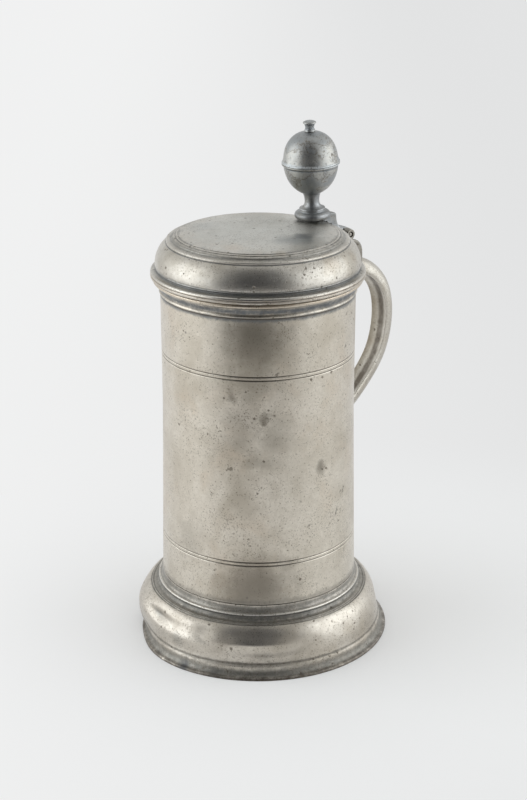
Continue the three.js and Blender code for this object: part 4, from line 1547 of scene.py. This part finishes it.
@dataclass
class Thumbpiece:
    """The ball thumbpiece: a turned stem with its hinge lug, a hollow ball of two halves, a finial."""

    radius: float = 34.0
    height: float = 202.7
    lean: float = 3.0
    base_radius: float = 8.6
    base_height: float = 3.6
    collar_radius: float = 6.2
    collar_top: float = 5.2
    waist_radius: float = 3.5
    waist_top: float = 8.2
    neck_radius: float = 4.8
    neck_top: float = 12.6
    spigot_radius: float = 2.4
    ball_radius: float = 13.0
    equator: float = 27.2
    lower_rise: float = 15.6
    upper_rise: float = 14.9
    fullness: float = 2.3
    shell: float = 1.0
    bead_proud: float = 0.8
    bead_width: float = 2.0
    seam: float = 0.08
    finial_radius: float = 3.1
    finial_neck: float = 1.9
    finial_foot: float = 2.6
    finial_waist: float = 2.1
    finial_height: float = 4.6
    finial_button: float = 1.1
    gap: float = 0.3
    grain: float = 0.2
    smoothing: int = 4
    steps: int = 96

    def place(self) -> Matrix:
        """Where the leaning axis stands on the lid."""
        lean = Matrix.Rotation(-math.radians(self.lean), 4, "Y")
        return Matrix.Translation((CUP_AXIS + self.radius, 0, self.height)) @ lean

    def turned(self, name: str, outline: np.ndarray, closed: bool, soft: float = 0.15) -> Thing:
        """Builds a piece of the thumbpiece, turned about its leaning axis."""
        return Turned(name, outline, self.steps, closed, self.place(), soft).build()

    def stem(self) -> Thing:
        """Builds the stem and works it into one skin with the lug's solid.

        Returns:
            The stem.
        """
        half = self.base_height / 2
        collar = (self.collar_radius, self.waist_top)
        collar_width = self.collar_radius - self.waist_radius
        neck = (self.neck_radius, self.waist_top)
        neck_width = self.neck_radius - self.waist_radius
        outline = chain(
            (0, 0),
            arc((self.base_radius - half, half), half, half, -90, 86, 20),
            (self.collar_radius, self.base_height + 0.1),
            (self.collar_radius, self.collar_top - 0.1),
            arc(collar, collar_width, self.waist_top - self.collar_top, -94, -180, 12),
            arc(neck, neck_width, self.neck_top - self.waist_top, 175, 92, 12),
            (self.spigot_radius, self.neck_top),
            (self.spigot_radius, self.neck_top + self.shell),
            (0, self.neck_top + self.shell),
        )
        post = self.turned("post", outline, False)
        parts = [post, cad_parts["thumb_stem"]]
        whole = worked("stem_and_lug", parts, self.grain, self.smoothing)
        bpy.data.objects.remove(post)
        return whole

    def lower_half(self) -> Thing:
        """Builds the lower half of the ball with its half of the bead.

        Returns:
            The half.
        """
        seam = self.equator - self.seam
        bottom = self.neck_top + self.gap
        low = self.equator - self.bead_width / 2
        edge = self.ball_radius + self.bead_proud
        centre = (0.0, self.equator)
        outline = chain(
            (self.spigot_radius + self.gap, bottom),
            arc(centre, self.ball_radius, self.lower_rise, -70, -5, 30),
            (self.ball_radius + self.bead_proud / 2, low),
            (edge, (low + seam) / 2),
            (edge, seam),
            (self.ball_radius - self.shell, seam),
            arc(centre, self.ball_radius - self.shell, self.lower_rise - self.shell, -8, -64, 16),
            (self.spigot_radius + self.gap, bottom + self.shell),
        )
        return self.turned("ball_lower", outline, True)

    def full_arc(self, shrink: float, start: float, stop: float, steps: int) -> np.ndarray:
        """Arc of the fuller upper half: cosine and sine raised to 2 over the fullness.

        Args:
            shrink: how far it lies inside the ball, in mm.
            start: first angle in degrees.
            stop: last angle in degrees.
            steps: number of steps between the angles.

        Returns:
            Rows of radius and height.
        """
        across, up = arc((0, 0), 1, 1, start, stop, steps).T ** (2 / self.fullness)
        reach, rise = self.ball_radius - shrink, self.upper_rise - shrink
        return np.column_stack([reach * across, self.equator + rise * up])

    def upper_half(self) -> Thing:
        """Builds the upper half of the ball with its half of the bead and its vent.

        Returns:
            The half.
        """
        seam = self.equator + self.seam
        high = self.equator + self.bead_width / 2
        edge = self.ball_radius + self.bead_proud
        vent = self.finial_neck + self.gap
        top = self.equator + self.upper_rise
        outline = chain(
            (self.ball_radius - self.shell, seam),
            (edge, seam),
            (edge, (high + seam) / 2),
            (self.ball_radius + self.bead_proud / 2, high),
            self.full_arc(0, 8, 80, 32),
            (vent, top),
            (vent, top - self.shell),
            self.full_arc(self.shell, 74, 10, 16),
        )
        return self.turned("ball_upper", outline, True)

    def finial(self) -> Thing:
        """Builds the flared finial on the ball.

        Returns:
            The finial.
        """
        seat = self.equator + self.upper_rise + self.gap
        top = seat + self.finial_height
        flare = (self.finial_radius, seat + self.finial_button)
        rise = self.finial_height - 2 * self.finial_button
        outline = chain(
            (0, seat - self.shell),
            (self.finial_neck, seat - self.shell),
            (self.finial_neck, seat - self.gap),
            (self.finial_foot, seat - self.gap),
            (self.finial_foot, seat),
            arc(flare, self.finial_radius - self.finial_waist, rise, 180, 100, 10),
            (self.finial_radius, top - self.finial_button),
            (self.finial_radius, top - self.finial_button / 2),
            (self.finial_neck, top),
            (0, top),
        )
        return self.turned("finial", outline, False, 0.3)

    def make(self) -> None:
        """Builds and dresses the stem, the ball and the finial."""
        for thing, finish, node in (
            (self.stem(), Finish.STEM, "thumb_stem"),
            (self.lower_half(), Finish.BALL, "thumb_ball_lower"),
            (self.upper_half(), Finish.BALL, "thumb_ball_upper"),
            (self.finial(), Finish.BALL, "thumb_finial"),
        ):
            dress(thing, finish, LID_BODY, node)


@dataclass
class Studio:
    """Pale floor, soft world, two soft boxes, a dark card for the metal to mirror, and the camera.

    Lengths are in metres and angles in degrees, apart from the camera's pitch and roll in radians.
    Turns go round the cup's axis from the camera's bearing.
    """

    camera_at: Triple = (-0.5197, -0.6056, 0.41442)
    pitch: float = 0.358755
    heading: float = -40.18586
    roll: float = -0.00095597
    lens: float = 78.75
    middle_height: float = 0.11
    world: Colour = (0.79, 0.80, 0.80)
    floor_size: float = 8.0
    floor: Colour = (0.84, 0.835, 0.83)
    # The far floor's colour runs from light on the left to darker on the right: painted light falloff.
    floor_left: Colour = (0.876, 0.880, 0.880)
    floor_right: Colour = (0.765, 0.770, 0.772)
    floor_across: Point = (0.77, -0.64)
    floor_change: Point = (-0.25, 0.3)
    shadow_middle: Triple = (0.04, -0.034, 0.0)
    shadow_fade: Point = (0.075, 0.26)
    box_turns: Point = (-82.0, 86.0)
    box_strengths: Point = (1.36, 1.224)
    box_size: Point = (1.2, 1.1)
    box_distance: float = 0.95
    box_height: float = 0.35
    box_tint: Colour = (0.92, 0.965, 1.0)
    card_turns: Point = (-52.0, 38.0)
    card_climb: Point = (-8.0, 82.0)
    card_distance: float = 0.6
    card_steps: int = 24
    card: Colour = (0.05, 0.05, 0.055)

    def camera(self) -> None:
        """Adds the camera and makes it the scene's."""
        data = bpy.data.cameras.new("Camera")
        data.lens = self.lens
        turn = Euler((math.pi / 2 - self.pitch, 0, math.radians(self.heading))).to_matrix().to_4x4()
        roll = Matrix.Rotation(self.roll, 4, "Z")
        thing = add_object("Camera", data)
        thing.matrix_world = Matrix.Translation(self.camera_at) @ turn @ roll
        bpy.context.scene.camera = thing

    def bearing(self) -> float:
        """Angle of the camera round the cup's axis, in radians."""
        return math.atan2(self.camera_at[1], self.camera_at[0] - CUP_AXIS * MM)

    def soft_box(self, name: str, turn: float, strength: float) -> None:
        """Adds a soft box: an area lamp of a given radiance that faces the cup.

        Args:
            name: the lamp's name.
            turn: its turn from the camera's bearing in degrees.
            strength: its radiance.
        """
        data = bpy.data.lights.new(name, "AREA")
        data.shape = "RECTANGLE"
        data.size, data.size_y = self.box_size
        data.color = self.box_tint
        data.energy = strength * math.pi * self.box_size[0] * self.box_size[1]
        angle = self.bearing() + math.radians(turn)
        middle = Vector((CUP_AXIS * MM, 0, self.middle_height))
        x, y = middle.x + self.box_distance * math.cos(angle), self.box_distance * math.sin(angle)
        spot = Vector((x, y, self.box_height))
        facing = (spot - middle).to_track_quat("Z", "Y").to_matrix().to_4x4()
        add_object(name, data).matrix_world = Matrix.Translation(spot) @ facing

    def floor_material(self) -> bpy.types.Material:
        """The floor: lit near the object, and further out its written colour for the camera, painted
        lighter on the left and darker on the right as light falloff.

        Returns:
            The new material.
        """
        material, t = new_material("studio_floor")
        place = t.add("ShaderNodeTexCoord").outputs["Object"]
        parts = t.add("ShaderNodeSeparateXYZ", {0: place}).outputs
        across = t.times(t.calc("ADD", parts[0], -CUP_AXIS * MM), self.floor_across[0])
        side = t.calc("ADD", across, t.times(parts[1], self.floor_across[1]))
        # Painted light falloff: the far floor darkens from left to right.
        colour = t.blend(t.spread(side, *self.floor_change), self.floor_left, self.floor_right)
        off = t.vector("SUBTRACT", a=place, b=self.shadow_middle)
        far = t.spread(t.vector("LENGTH", a=off), *self.shadow_fade)
        light = t.add("ShaderNodeLightPath").outputs
        seen = t.calc("MAXIMUM", light["Is Camera Ray"], light["Is Glossy Ray"])
        glow = t.add("ShaderNodeEmission", {"Color": colour, "Strength": 1.0}).outputs[0]
        lit = t.add("ShaderNodeBsdfDiffuse", {"Color": (*self.floor, 1.0)}).outputs[0]
        t.cover("ShaderNodeMixShader", {0: t.times(far, seen), 1: lit, 2: glow})
        return material

    def ground(self) -> None:
        """Adds the floor, a square round the origin."""
        corners = np.array([[-1, -1, 0], [1, -1, 0], [1, 1, 0], [-1, 1, 0]]) * self.floor_size / 2
        thing = add_mesh("studio_floor", corners / MM, [[0, 1, 2, 3]])
        thing.data.materials.append(self.floor_material())

    def card_material(self) -> bpy.types.Material:
        """The card: a plain dull colour.

        Returns:
            The new material.
        """
        material, t = new_material("studio_card")
        plain = {"Base Color": (*self.card, 1.0), "Roughness": 1.0, "Specular IOR Level": 0.0}
        t.cover("ShaderNodeBsdfPrincipled", plain)
        return material

    def dark_card(self) -> None:
        """Adds a dark curved card over the camera that only mirrors in the metal.

        It is part of a ball round the cup: distance times the cosine of the climb times the cosine
        and sine of the turn, and distance times the sine of the climb.
        """
        count = self.card_steps + 1
        turn = self.bearing() + np.radians(np.linspace(*self.card_turns, count))[:, None]
        climb = np.radians(np.linspace(*self.card_climb, count))[None, :]
        flat = self.card_distance * np.cos(climb)
        x = CUP_AXIS * MM + flat * np.cos(turn)
        z = self.middle_height + self.card_distance * np.sin(climb) + 0 * turn
        points = np.stack([x, flat * np.sin(turn), z], axis=2).reshape(-1, 3)
        thing = add_mesh("dark_card", points / MM, grid_quads(count, count, False, False).tolist())
        thing.data.materials.append(self.card_material())
        thing.visible_camera = thing.visible_shadow = thing.visible_diffuse = False

    def make(self) -> None:
        """Sets up the world, the floor, the lamps, the card and the camera."""
        scene = bpy.context.scene
        scene.view_settings.view_transform = "Standard"
        scene.world = bpy.data.worlds.new("studio")
        scene.world.use_nodes = True
        background = scene.world.node_tree.nodes["Background"]
        background.inputs["Color"].default_value = (*self.world, 1.0)
        self.ground()
        for side, turn, strength in zip(("left", "right"), self.box_turns, self.box_strengths):
            self.soft_box(f"soft_box_{side}", turn, strength)
        self.dark_card()
        self.camera()
        LOG.info("studio: camera at %.3f %.3f %.3f", *self.camera_at)


def main() -> None:
    logging.basicConfig(level=logging.INFO, format="%(name)s: %(message)s")
    for assembly in (Cup(), Foot(), Handle(), Hinge(), Lid(), Thumbpiece(), Studio()):
        assembly.make()
    bpy.context.view_layer.update()


if __name__ == "__main__":
    main()
